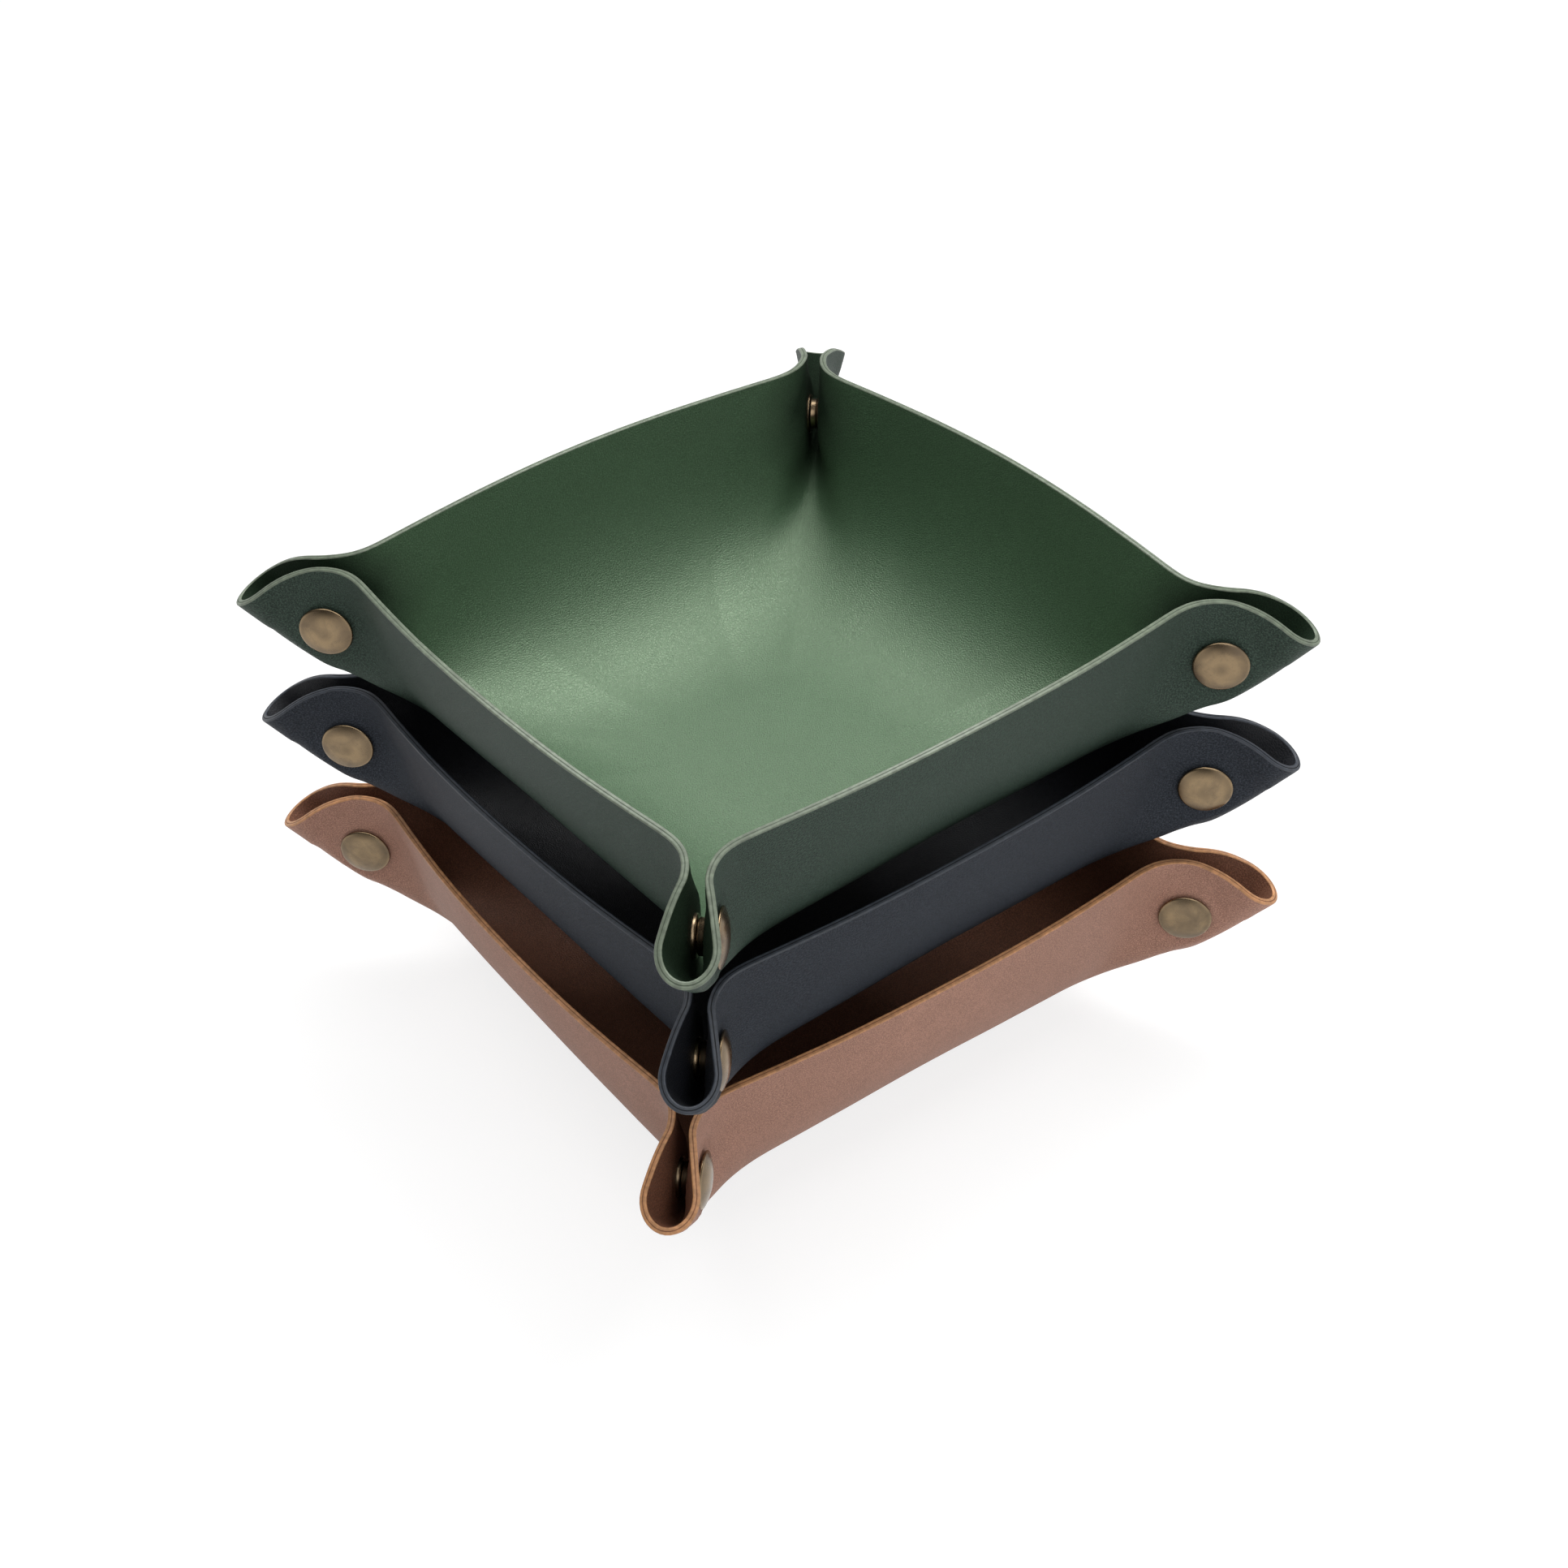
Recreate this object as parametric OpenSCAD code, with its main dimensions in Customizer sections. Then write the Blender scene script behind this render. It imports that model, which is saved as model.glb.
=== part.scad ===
// Stack of three snap-corner leather desk trays.
// Each tray is one square sheet whose corners are pinched together by brass snaps.

/* [Leather sheets] */
// Side of each square sheet laid flat, in mm
sheet_side = 203; // [180:1:240]
// Thickness of the two bonded layers of leather
leather_t = 1.6; // [1.2:0.1:2]
// Radius of the rounded corners of the flat sheet
corner_r = 30.5; // [22:0.5:35]
// Part of the half side that stays flat as the floor
floor_share = 0.21; // [0.17:0.01:0.24]
// Slope of the walls at the rim, in degrees
wall_angle = 80; // [77:1:84]
// How early the bend of the wall starts, lower is earlier
wall_power = 0.85; // [0.75:0.01:0.89]

/* [Pinched corners] */
// Snap hole to the nearer edge of the flat sheet
snap_edge_near = 15; // [12:0.5:17]
// Snap hole to the farther edge of the flat sheet
snap_edge_far = 30.8; // [28:0.2:36]
// Largest half width of the loop at the tip of the rim
loop_r = 5.6; // [4:0.1:6.2]
// Radius of the bend from the wall into the pinch
turn_r = 6; // [5:0.5:8]
// Radius of the bend that opens the loop
flare_r = 12; // [8:0.5:18]
// How far the loop opens past the snap, in degrees
flare_angle = 14; // [11:1:20]
// How far the wall turns inward before the pinch, in degrees
bow_angle = 8.5; // [6:0.5:12]
// Slope of the corner fold beside the floor, in degrees
keel_low_angle = 20; // [17:0.5:21.5]
// Slope of the corner fold at the tip, in degrees
keel_high_angle = 45.5; // [38:0.5:52]
// Drop of the rim from the middle of a wall to the pinch
rim_sag = 1.2; // [0:0.1:2.4]
// Length over which the strap eases down to the fold
fold_ease = 2; // [1:0.5:4]

/* [Snaps] */
// Diameter of the domed cap
cap_d = 12.5; // [10:0.5:14]
// Height of the cap above the leather
cap_h = 2.3; // [1.8:0.1:3]
// Height of the rounded side of the cap
cap_side_h = 1.1; // [0.7:0.1:1.5]
// Gap between the edge of the cap and the leather
cap_lift = 0.4; // [0.2:0.05:0.8]
// Diameter of the boss under the cap that bears on the leather
cap_boss_d = 8; // [6:0.5:9]
// Diameter of the rivet shanks
rivet_d = 2.6; // [2:0.1:2.8]
// Diameter of the rolled rivet head inside the socket
rivet_head_d = 3.6; // [3.2:0.1:4]
// Thickness of the rolled rivet head
rivet_head_t = 0.35; // [0.25:0.05:0.5]
// Radial play of a shank in the hole of the leather
hole_play = 0.2; // [0.1:0.05:0.4]
// Radial play of a shank in its metal hole
shank_play = 0.05; // [0.03:0.01:0.15]
// Diameter of the socket flange
socket_d = 9.8; // [8.5:0.1:11]
// Diameter of the socket body
socket_body_d = 7.6; // [6.6:0.1:8.4]
// Height of the socket
socket_h = 2.1; // [1.8:0.1:2.8]
// Thickness of the socket flange and web
socket_web_t = 0.55; // [0.4:0.05:0.8]
// Diameter of the socket bore
bore_d = 4.5; // [4.2:0.1:5]
// Diameter of the stud base
stud_d = 9; // [8:0.1:10]
// Thickness of the stud base
stud_base_t = 0.75; // [0.5:0.05:1]
// Radial play of the stud bulb in the bore
bulb_play = 0.2; // [0.1:0.05:0.3]
// How far the waist of the stud is drawn in, on the radius
waist_depth = 0.25; // [0.1:0.05:0.35]
// Wall of the stud at its tip
stud_wall_t = 0.6; // [0.4:0.05:0.7]
// Play between the closed stud and socket, along their axis
snap_play = 0.15; // [0.1:0.05:0.3]
// Gap between the leather and the metal that bears on it
seat_gap = 0.02; // [0.01:0.01:0.05]
// Diameter of the post flange
post_d = 9.5; // [8:0.1:11]
// Thickness of the post flange
post_t = 0.9; // [0.6:0.1:1.4]
// Rounding of the small metal edges
edge_r = 0.3; // [0.15:0.05:0.4]

/* [Stack] */
// Turn of the black tray on the tan tray, in degrees
black_turn = 2.2; // [-4:0.1:4]
// Turn of the green tray on the tan tray, in degrees
green_turn = 2.7; // [-4:0.1:4]
// Shift of the black tray from the tan tray along X
black_shift_x = 2; // [-2.5:0.1:2.5]
// Shift of the black tray from the tan tray along Y
black_shift_y = 1; // [-2.5:0.1:2.5]
// Shift of the green tray from the tan tray along X
green_shift_x = 4.5; // [-5:0.1:5]
// Shift of the green tray from the tan tray along Y
green_shift_y = 0.1; // [-3:0.1:3]
// Gap left where an upper tray rests in the pinches below it
nest_gap = 0.4; // [0.2:0.05:1]

/* [Hidden] */
leather_green = [0.20, 0.32, 0.22];
leather_black = [0.10, 0.10, 0.12];
leather_tan = [0.66, 0.42, 0.28];
brass = [0.55, 0.47, 0.33];
half = sheet_side / 2;
strap_space = socket_h + stud_base_t + snap_play + 2 * seat_gap;
pinch_gap = strap_space + leather_t;
g2 = pinch_gap / 2;
hole_d = rivet_d + 2 * hole_play;
bulb_d = bore_d - 2 * bulb_play;
waist_d = bulb_d - 2 * waist_depth;
// where the parts of the bend start and finish, as shares of the half side
pinch_low_share = 0.55;
pinch_high_share = 0.85;
keel_mid_share = 0.562;
keel_end_share = 0.88;
bow_low_share = 0.6;
bow_high_share = 0.9;
curl_low_share = 0.3;
loop_low_share = 0.78;
sag_low_share = 0.4;
sag_high_share = 0.7;
// part of the strap's half width that the fold has under the pinch
curl_share = 0.35;
// part of the way to the tip over which the rim drops
sag_reach_share = 0.75;
keel_power = 0.7;
row_power = 0.8;
strap_low_angle = 2;
strap_high_angle = 45;
least_angle = 0.01;
steps = 160;
wall_parts = 2;
turn_parts = 3;
strap_parts = 4;
loop_parts = 4;
parts = wall_parts + turn_parts + strap_parts + loop_parts;
columns = 8 * parts;
low_rows = 7;
press_rows = 4;
rim_rows = 2;
rows = low_rows + press_rows + rim_rows;
// extent of the flat under a snap, and of the ease around it, as shares of their sizes
seat_share = 0.6;
fade_share = 0.5;
seat_r = cap_d / 2 + turn_r * seat_share;
seat_fade = turn_r * fade_share;
// rise of an upper tray where its folds leave the pinches, per length that they turn
nest_slope = 0.46;
// rise of an upper tray per length that it is shifted off the middle of the one below
shift_slope = 0.7;
// outline of the dome over the side of the cap, and of the post flange, as shares of their sizes
dome_shares = [[0.84, 0.42], [0.66, 0.7], [0.44, 0.89], [0.22, 0.98], [0, 1]];
side_shares = [[1, 0.5], [0.985, 0.8], [0.94, 1]];
post_shares = [[0, 1], [0.6, 1], [0.86, 0.82], [1, 0.3]];
root_half = sqrt(0.5);
root_two = sqrt(2);
round_fn = 48;

function limit(u) = min(1, max(0, u));
function smooth(u) = let(v = limit(u)) v * v * (3 - 2 * v);
function ramp(w, low, high) = smooth((w - low) / (high - low));
function sum_step(a) = [cos(a), sin(a)] * half / steps;

// slope of a wall at a share of the flat half side
function wall_slope(w) = let(u = max(0, (w - floor_share) / (1 - floor_share)))
    wall_angle * (1 - cos(180 * pow(u, wall_power))) / 2;

// slope of the corner fold at a share of the flat diagonal
function keel_slope(v) =
    let(u = limit((v - floor_share) / (keel_mid_share - floor_share)))
    keel_low_angle * pow(u, keel_power)
    + (keel_high_angle - keel_low_angle) * ramp(v, keel_mid_share, keel_end_share);

wall_line = [for (i = 0, p = [0, 0]; i <= steps;
    i = i + 1, p = p + sum_step(wall_slope((i - 0.5) / steps))) p];
keel_line = [for (i = 0, p = [0, 0]; i <= steps;
    i = i + 1, p = p + root_two * sum_step(keel_slope((i - 0.5) / steps))) p];
wall_x = [for (i = [0:steps]) [i / steps, wall_line[i][0]]];
wall_z = [for (i = [0:steps]) [i / steps, wall_line[i][1]]];
keel_d = [for (i = [0:steps]) [i / steps, keel_line[i][0]]];
keel_z = [for (i = [0:steps]) [i / steps, keel_line[i][1]]];

// snap centre: along the diagonal and up, in the plane of a strap
snap_share = 1 - (snap_edge_near + snap_edge_far) / (2 * half);
snap_rise = (snap_edge_far - snap_edge_near) * root_half - (PI / 2 - 1) * g2;
snap_lean = keel_slope(snap_share);
snap_d = lookup(snap_share, keel_d) - sin(snap_lean) * snap_rise;
snap_z = lookup(snap_share, keel_z) + cos(snap_lean) * snap_rise;

function arc_len(r, a) = r * a * PI / 180;

// a level's place on the flat diagonal, where its rounded corner crosses it
function fold_share(w) = let(r = corner_r * pow(w, 4)) w + (1 / root_two - 1) * r / half;

// one eighth of a level: middle of the wall to the tip, as [x, y, length so far]
// the wall bows by b, turns by a into the straight strap, flares by f and curls round the tip
function plan(w) = let(
    x0 = lookup(w, wall_x),
    reach = lookup(fold_share(w), keel_d) * root_half,
    a = strap_low_angle
        + (strap_high_angle - strap_low_angle) * ramp(w, pinch_low_share, pinch_high_share),
    b = max(least_angle, bow_angle * ramp(w, bow_low_share, bow_high_share)),
    open = ramp(w, loop_low_share, 1),
    f = flare_angle * open,
    wide = g2 + (loop_r - g2) * open * pow(w, 6),
    small = g2 * (curl_share + (1 - curl_share) * ramp(w, curl_low_share, pinch_high_share)),
    rho = w > pinch_high_share ? wide : small,
    fr = flare_r * open,
    need = rho * cos(f) - g2 - fr * (1 - cos(f)),
    s = f > least_angle ? max(0, need) / sin(f) : 0,
    turn = turn_r * [cos(b) - cos(a), sin(b) + sin(a)],
    flare = fr * [cos(a) - cos(a + f), sin(a + f) - sin(a)],
    out = s * [sin(a + f), cos(a + f)],
    curl = rho * [root_half - cos(a + f), root_half + sin(a + f)],
    rest = [reach - x0, reach] - turn - flare - out - curl,
    bend = 180 / PI / b,
    wx = -(1 - cos(b)) * bend,
    wy = sin(b) * bend,
    det = wx * cos(a) - wy * sin(a),
    wall = (rest[0] * cos(a) - rest[1] * sin(a)) / det,
    neck = (wx * rest[1] - wy * rest[0]) / det,
    p1 = [x0, 0] + wall * [wx, wy],
    p2 = p1 + turn,
    p4 = p2 + neck * [sin(a), cos(a)] + flare + out,
    l1 = wall,
    l2 = l1 + arc_len(turn_r, a + b),
    l3 = l2 + neck,
    fa = arc_len(fr, f),
    l4 = l3 + fa + s,
    curl_a = 45 + a + f)
    [for (i = [0:parts])
        i < wall_parts ? let(t = i / wall_parts, k = wall * bend)
            [x0 - k * (1 - cos(b * t)), k * sin(b * t), wall * t]
        : i < wall_parts + turn_parts ? let(t = (i - wall_parts) / turn_parts, q = b - (a + b) * t)
            [p1[0] + turn_r * (cos(b) - cos(q)), p1[1] + turn_r * (sin(b) - sin(q)), l1 + (l2 - l1) * t]
        : i < parts - loop_parts ? let(
            t = (i - wall_parts - turn_parts) / strap_parts,
            l = (neck + fa + s) * t,
            n = min(l, neck),
            q = fa > 0 ? f * limit((l - neck) / fa) : 0,
            m = max(0, l - neck - fa))
            [p2[0] + n * sin(a) + fr * (cos(a) - cos(a + q)) + m * sin(a + f),
             p2[1] + n * cos(a) + fr * (sin(a + q) - sin(a)) + m * cos(a + f), l2 + l]
        : let(t = (i - parts + loop_parts) / loop_parts, q = -(a + f) + curl_a * t)
            [p4[0] + rho * (cos(q) - cos(a + f)), p4[1] + rho * (sin(q) + sin(a + f)),
             l4 + arc_len(rho, curl_a) * t]];

// share of full flattening under a snap, from the distance to its centre
function pressed(d, z) = 1 - ramp(norm([d - snap_d, z - snap_z]), seat_r, seat_r + seat_fade);

// one eighth of a level with heights: [x, y, z, pull of the snap]
function eighth(w) = let(
    z0 = lookup(w, wall_z),
    zk = lookup(fold_share(w), keel_z),
    sag = rim_sag * ramp(w, sag_low_share, sag_high_share),
    row = plan(w),
    full = row[parts][2],
    tail = full - (row[wall_parts + turn_parts][2] + row[parts - loop_parts][2]) / 2 + fold_ease)
    [for (p = row) let(
        u = 1 - min(1, (full - p[2]) / tail),
        zl = z0 - sag * ramp(p[2] / full, 0, sag_reach_share),
        z = zl + (zk - zl) * smooth(u),
        d = (p[0] + p[1]) * root_half,
        c = (p[1] - p[0]) * root_half,
        k = pressed(d, z),
        c2 = c < -g2 ? c + (-g2 - c) * k : c,
        near = c2 < -g2 / 2 ? k : 0)
        [(d - c2) * root_half, (d + c2) * root_half, z, near]];

// a whole level, once round
function spin(p, k) = [[p[0], p[1]], [-p[1], p[0]], [-p[0], -p[1]], [p[1], -p[0]]][k];
function level(w) = let(e = eighth(w))
    [for (k = [0:3]) for (j = [0:2 * parts - 1]) let(
        q = j <= parts ? e[j] : e[2 * parts - j],
        m = j <= parts ? [q[0], q[1]] : [q[1], q[0]],
        s = j < parts ? [1, -1] : j > parts ? [-1, 1] : [0, 0],
        g = spin(m, k),
        h = spin(s, k) * root_half * q[3])
        [g[0], g[1], q[2], h[0], h[1]]];

// rows of the sheet: closer together where the snaps press it flat
snap_row = lookup(snap_z + rim_sag, [for (i = [0:steps]) [wall_line[i][1], i / steps]]);
press_band = (cap_d + leather_t) / 2 / half;
row_share = concat(
    [for (i = [0:low_rows - 1]) floor_share
        + (snap_row - press_band - floor_share) * pow(i / low_rows, row_power)],
    [for (i = [0:press_rows - 1]) snap_row - press_band + 2 * press_band * i / press_rows],
    [for (i = [0:rim_rows]) snap_row + press_band
        + (1 - snap_row - press_band) * i / rim_rows]);
grid = [for (w = row_share) level(w)];
function at(i, j) = let(p = grid[i][(j + columns) % columns]) [p[0], p[1], p[2]];
function unit(v) = v / norm(v);
function outward(i, j) = i == 0 ? [0, 0, -1] : let(
    p = grid[i][j],
    raw = unit(cross(at(i, j + 1) - at(i, j - 1), at(min(rows, i + 1), j) - at(i - 1, j))),
    pull = [p[3], p[4], 0])
    unit(raw * (1 - norm(pull)) + pull);
skin = [for (i = [0:rows]) for (j = [0:columns - 1]) at(i, j) + outward(i, j) * leather_t / 2];
lining = [for (i = [0:rows]) for (j = [0:columns - 1]) at(i, j) - outward(i, j) * leather_t / 2];
points = concat(skin, lining);
inner = (rows + 1) * columns;
function cell(i, j) = i * columns + (j % columns);
faces = concat(
    [[for (j = [0:columns - 1]) cell(0, j)]],
    [[for (j = [columns - 1:-1:0]) inner + cell(0, j)]],
    [for (i = [0:rows - 1]) for (j = [0:columns - 1]) [cell(i, j), cell(i + 1, j), cell(i, j + 1)]],
    [for (i = [0:rows - 1]) for (j = [0:columns - 1]) [cell(i, j + 1), cell(i + 1, j), cell(i + 1, j + 1)]],
    [for (i = [0:rows - 1]) for (j = [0:columns - 1])
        [inner + cell(i, j), inner + cell(i, j + 1), inner + cell(i + 1, j)]],
    [for (i = [0:rows - 1]) for (j = [0:columns - 1])
        [inner + cell(i, j + 1), inner + cell(i + 1, j + 1), inner + cell(i + 1, j)]],
    [for (j = [0:columns - 1]) [cell(rows, j), inner + cell(rows, j), cell(rows, j + 1)]],
    [for (j = [0:columns - 1]) [cell(rows, j + 1), inner + cell(rows, j), inner + cell(rows, j + 1)]]);

// height between trays: the fold of the upper one sits in the pinches below it
nest_point = plan(1)[wall_parts + turn_parts - 1];
nest_d = (nest_point[0] + nest_point[1]) * root_half;
nest_keel = lookup(nest_d, keel_line);
level_pitch = lookup(1, wall_z) - rim_sag - nest_keel + leather_t / 2 + nest_gap;
function turn_rise(a) = abs(a) * PI / 180 * nest_d * nest_slope;
black_shift = [black_shift_x, black_shift_y];
green_shift = [green_shift_x, green_shift_y];
black_up = level_pitch + turn_rise(black_turn) + shift_slope * norm(black_shift);
green_up = black_up + level_pitch + turn_rise(green_turn - black_turn)
    + shift_slope * norm(green_shift - black_shift);

module tray_place(turn, up, shift) {
    translate([shift[0], shift[1], up + leather_t / 2])
        rotate([0, 0, turn])
            children();
}

// moves a snap from its own axis to a corner; side 1 puts the cap on the other strap
module snap_place(corner, side) {
    rotate([0, 0, 90 * corner])
        translate([snap_d * root_half, snap_d * root_half, snap_z])
            rotate([90, 0, 45 + 180 * side])
                children();
}

module leather_sheet() {
    difference() {
        polyhedron(points = points, faces = faces, convexity = 6);
        for (corner = [0:3])
            snap_place(corner, 0)
                cylinder(h = strap_space + 4 * leather_t, d = hole_d, center = true, $fn = round_fn);
    }
}

// heights along the axis of a snap, from the middle between the straps
inner_face = strap_space / 2 - seat_gap;
outer_face = strap_space / 2 + leather_t + seat_gap;
web_face = inner_face - socket_web_t;
head_face = web_face - rivet_head_t;
stud_tip = head_face - snap_play;
stud_roof = stud_tip - stud_wall_t;
shank_end = stud_roof - snap_play;

// domed cap with its boss, shank and rolled head
module snap_cap() {
    rim = outer_face + cap_lift;
    dome = cap_h - cap_lift - cap_side_h;
    rotate_extrude($fn = round_fn)
        polygon(concat([
            [0, head_face],
            [rivet_head_d / 2, head_face],
            [rivet_head_d / 2, web_face],
            [rivet_d / 2, web_face],
            [rivet_d / 2, outer_face],
            [cap_boss_d / 2, outer_face],
            [cap_boss_d / 2, rim],
            [cap_d / 2 - edge_r, rim],
            [cap_d / 2, rim + edge_r]],
            [for (s = side_shares) [cap_d / 2 * s[0], rim + cap_side_h * s[1]]],
            [for (s = dome_shares) [cap_d / 2 * s[0], rim + cap_side_h + dome * s[1]]]));
}

// socket riveted inside the strap, open toward the stud
module snap_socket() {
    foot = inner_face - socket_h;
    rotate_extrude($fn = round_fn)
        polygon([
            [rivet_d / 2 + shank_play, inner_face],
            [rivet_d / 2 + shank_play, web_face],
            [bore_d / 2, web_face],
            [bore_d / 2, foot],
            [socket_body_d / 2 - edge_r, foot],
            [socket_body_d / 2, foot + edge_r],
            [socket_body_d / 2, web_face - edge_r],
            [socket_body_d / 2 + edge_r, web_face],
            [socket_d / 2 - edge_r / 2, web_face],
            [socket_d / 2, web_face + edge_r / 2],
            [socket_d / 2, inner_face]]);
}

// stud that presses into the socket
module snap_stud() {
    base = -inner_face + stud_base_t;
    rotate_extrude($fn = round_fn)
        polygon([
            [rivet_d / 2 + shank_play, -inner_face],
            [stud_d / 2, -inner_face],
            [stud_d / 2, base - edge_r],
            [stud_d / 2 - edge_r, base],
            [waist_d / 2 + edge_r, base],
            [waist_d / 2, base + edge_r],
            [bulb_d / 2, (base + 2 * stud_tip) / 3],
            [bulb_d / 2 - edge_r, stud_tip],
            [0, stud_tip],
            [0, stud_roof],
            [rivet_d / 2 + shank_play, stud_roof]]);
}

// post that rivets the stud to the other strap
module snap_post() {
    rotate_extrude($fn = round_fn)
        polygon(concat(
            [for (s = post_shares) [post_d / 2 * s[0], -outer_face - post_t * s[1]]], [
            [post_d / 2, -outer_face],
            [rivet_d / 2, -outer_face],
            [rivet_d / 2, shank_end],
            [0, shank_end]]));
}

module green_leather_sheet() {
    color(leather_green)
        tray_place(green_turn, green_up, green_shift)
            leather_sheet();
}

module green_right_snap_cap() {
    color(brass)
        tray_place(green_turn, green_up, green_shift)
            snap_place(0, 0)
                snap_cap();
}

module green_right_snap_socket() {
    color(brass)
        tray_place(green_turn, green_up, green_shift)
            snap_place(0, 0)
                snap_socket();
}

module green_right_snap_stud() {
    color(brass)
        tray_place(green_turn, green_up, green_shift)
            snap_place(0, 0)
                snap_stud();
}

module green_right_snap_post() {
    color(brass)
        tray_place(green_turn, green_up, green_shift)
            snap_place(0, 0)
                snap_post();
}

module green_back_snap_cap() {
    color(brass)
        tray_place(green_turn, green_up, green_shift)
            snap_place(1, 1)
                snap_cap();
}

module green_back_snap_socket() {
    color(brass)
        tray_place(green_turn, green_up, green_shift)
            snap_place(1, 1)
                snap_socket();
}

module green_back_snap_stud() {
    color(brass)
        tray_place(green_turn, green_up, green_shift)
            snap_place(1, 1)
                snap_stud();
}

module green_back_snap_post() {
    color(brass)
        tray_place(green_turn, green_up, green_shift)
            snap_place(1, 1)
                snap_post();
}

module green_left_snap_cap() {
    color(brass)
        tray_place(green_turn, green_up, green_shift)
            snap_place(2, 1)
                snap_cap();
}

module green_left_snap_socket() {
    color(brass)
        tray_place(green_turn, green_up, green_shift)
            snap_place(2, 1)
                snap_socket();
}

module green_left_snap_stud() {
    color(brass)
        tray_place(green_turn, green_up, green_shift)
            snap_place(2, 1)
                snap_stud();
}

module green_left_snap_post() {
    color(brass)
        tray_place(green_turn, green_up, green_shift)
            snap_place(2, 1)
                snap_post();
}

module green_front_snap_cap() {
    color(brass)
        tray_place(green_turn, green_up, green_shift)
            snap_place(3, 1)
                snap_cap();
}

module green_front_snap_socket() {
    color(brass)
        tray_place(green_turn, green_up, green_shift)
            snap_place(3, 1)
                snap_socket();
}

module green_front_snap_stud() {
    color(brass)
        tray_place(green_turn, green_up, green_shift)
            snap_place(3, 1)
                snap_stud();
}

module green_front_snap_post() {
    color(brass)
        tray_place(green_turn, green_up, green_shift)
            snap_place(3, 1)
                snap_post();
}

module black_leather_sheet() {
    color(leather_black)
        tray_place(black_turn, black_up, black_shift)
            leather_sheet();
}

module black_right_snap_cap() {
    color(brass)
        tray_place(black_turn, black_up, black_shift)
            snap_place(0, 0)
                snap_cap();
}

module black_right_snap_socket() {
    color(brass)
        tray_place(black_turn, black_up, black_shift)
            snap_place(0, 0)
                snap_socket();
}

module black_right_snap_stud() {
    color(brass)
        tray_place(black_turn, black_up, black_shift)
            snap_place(0, 0)
                snap_stud();
}

module black_right_snap_post() {
    color(brass)
        tray_place(black_turn, black_up, black_shift)
            snap_place(0, 0)
                snap_post();
}

module black_back_snap_cap() {
    color(brass)
        tray_place(black_turn, black_up, black_shift)
            snap_place(1, 1)
                snap_cap();
}

module black_back_snap_socket() {
    color(brass)
        tray_place(black_turn, black_up, black_shift)
            snap_place(1, 1)
                snap_socket();
}

module black_back_snap_stud() {
    color(brass)
        tray_place(black_turn, black_up, black_shift)
            snap_place(1, 1)
                snap_stud();
}

module black_back_snap_post() {
    color(brass)
        tray_place(black_turn, black_up, black_shift)
            snap_place(1, 1)
                snap_post();
}

module black_left_snap_cap() {
    color(brass)
        tray_place(black_turn, black_up, black_shift)
            snap_place(2, 1)
                snap_cap();
}

module black_left_snap_socket() {
    color(brass)
        tray_place(black_turn, black_up, black_shift)
            snap_place(2, 1)
                snap_socket();
}

module black_left_snap_stud() {
    color(brass)
        tray_place(black_turn, black_up, black_shift)
            snap_place(2, 1)
                snap_stud();
}

module black_left_snap_post() {
    color(brass)
        tray_place(black_turn, black_up, black_shift)
            snap_place(2, 1)
                snap_post();
}

module black_front_snap_cap() {
    color(brass)
        tray_place(black_turn, black_up, black_shift)
            snap_place(3, 1)
                snap_cap();
}

module black_front_snap_socket() {
    color(brass)
        tray_place(black_turn, black_up, black_shift)
            snap_place(3, 1)
                snap_socket();
}

module black_front_snap_stud() {
    color(brass)
        tray_place(black_turn, black_up, black_shift)
            snap_place(3, 1)
                snap_stud();
}

module black_front_snap_post() {
    color(brass)
        tray_place(black_turn, black_up, black_shift)
            snap_place(3, 1)
                snap_post();
}

module tan_leather_sheet() {
    color(leather_tan)
        tray_place(0, 0, [0, 0])
            leather_sheet();
}

module tan_right_snap_cap() {
    color(brass)
        tray_place(0, 0, [0, 0])
            snap_place(0, 0)
                snap_cap();
}

module tan_right_snap_socket() {
    color(brass)
        tray_place(0, 0, [0, 0])
            snap_place(0, 0)
                snap_socket();
}

module tan_right_snap_stud() {
    color(brass)
        tray_place(0, 0, [0, 0])
            snap_place(0, 0)
                snap_stud();
}

module tan_right_snap_post() {
    color(brass)
        tray_place(0, 0, [0, 0])
            snap_place(0, 0)
                snap_post();
}

module tan_back_snap_cap() {
    color(brass)
        tray_place(0, 0, [0, 0])
            snap_place(1, 1)
                snap_cap();
}

module tan_back_snap_socket() {
    color(brass)
        tray_place(0, 0, [0, 0])
            snap_place(1, 1)
                snap_socket();
}

module tan_back_snap_stud() {
    color(brass)
        tray_place(0, 0, [0, 0])
            snap_place(1, 1)
                snap_stud();
}

module tan_back_snap_post() {
    color(brass)
        tray_place(0, 0, [0, 0])
            snap_place(1, 1)
                snap_post();
}

module tan_left_snap_cap() {
    color(brass)
        tray_place(0, 0, [0, 0])
            snap_place(2, 1)
                snap_cap();
}

module tan_left_snap_socket() {
    color(brass)
        tray_place(0, 0, [0, 0])
            snap_place(2, 1)
                snap_socket();
}

module tan_left_snap_stud() {
    color(brass)
        tray_place(0, 0, [0, 0])
            snap_place(2, 1)
                snap_stud();
}

module tan_left_snap_post() {
    color(brass)
        tray_place(0, 0, [0, 0])
            snap_place(2, 1)
                snap_post();
}

module tan_front_snap_cap() {
    color(brass)
        tray_place(0, 0, [0, 0])
            snap_place(3, 1)
                snap_cap();
}

module tan_front_snap_socket() {
    color(brass)
        tray_place(0, 0, [0, 0])
            snap_place(3, 1)
                snap_socket();
}

module tan_front_snap_stud() {
    color(brass)
        tray_place(0, 0, [0, 0])
            snap_place(3, 1)
                snap_stud();
}

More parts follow.
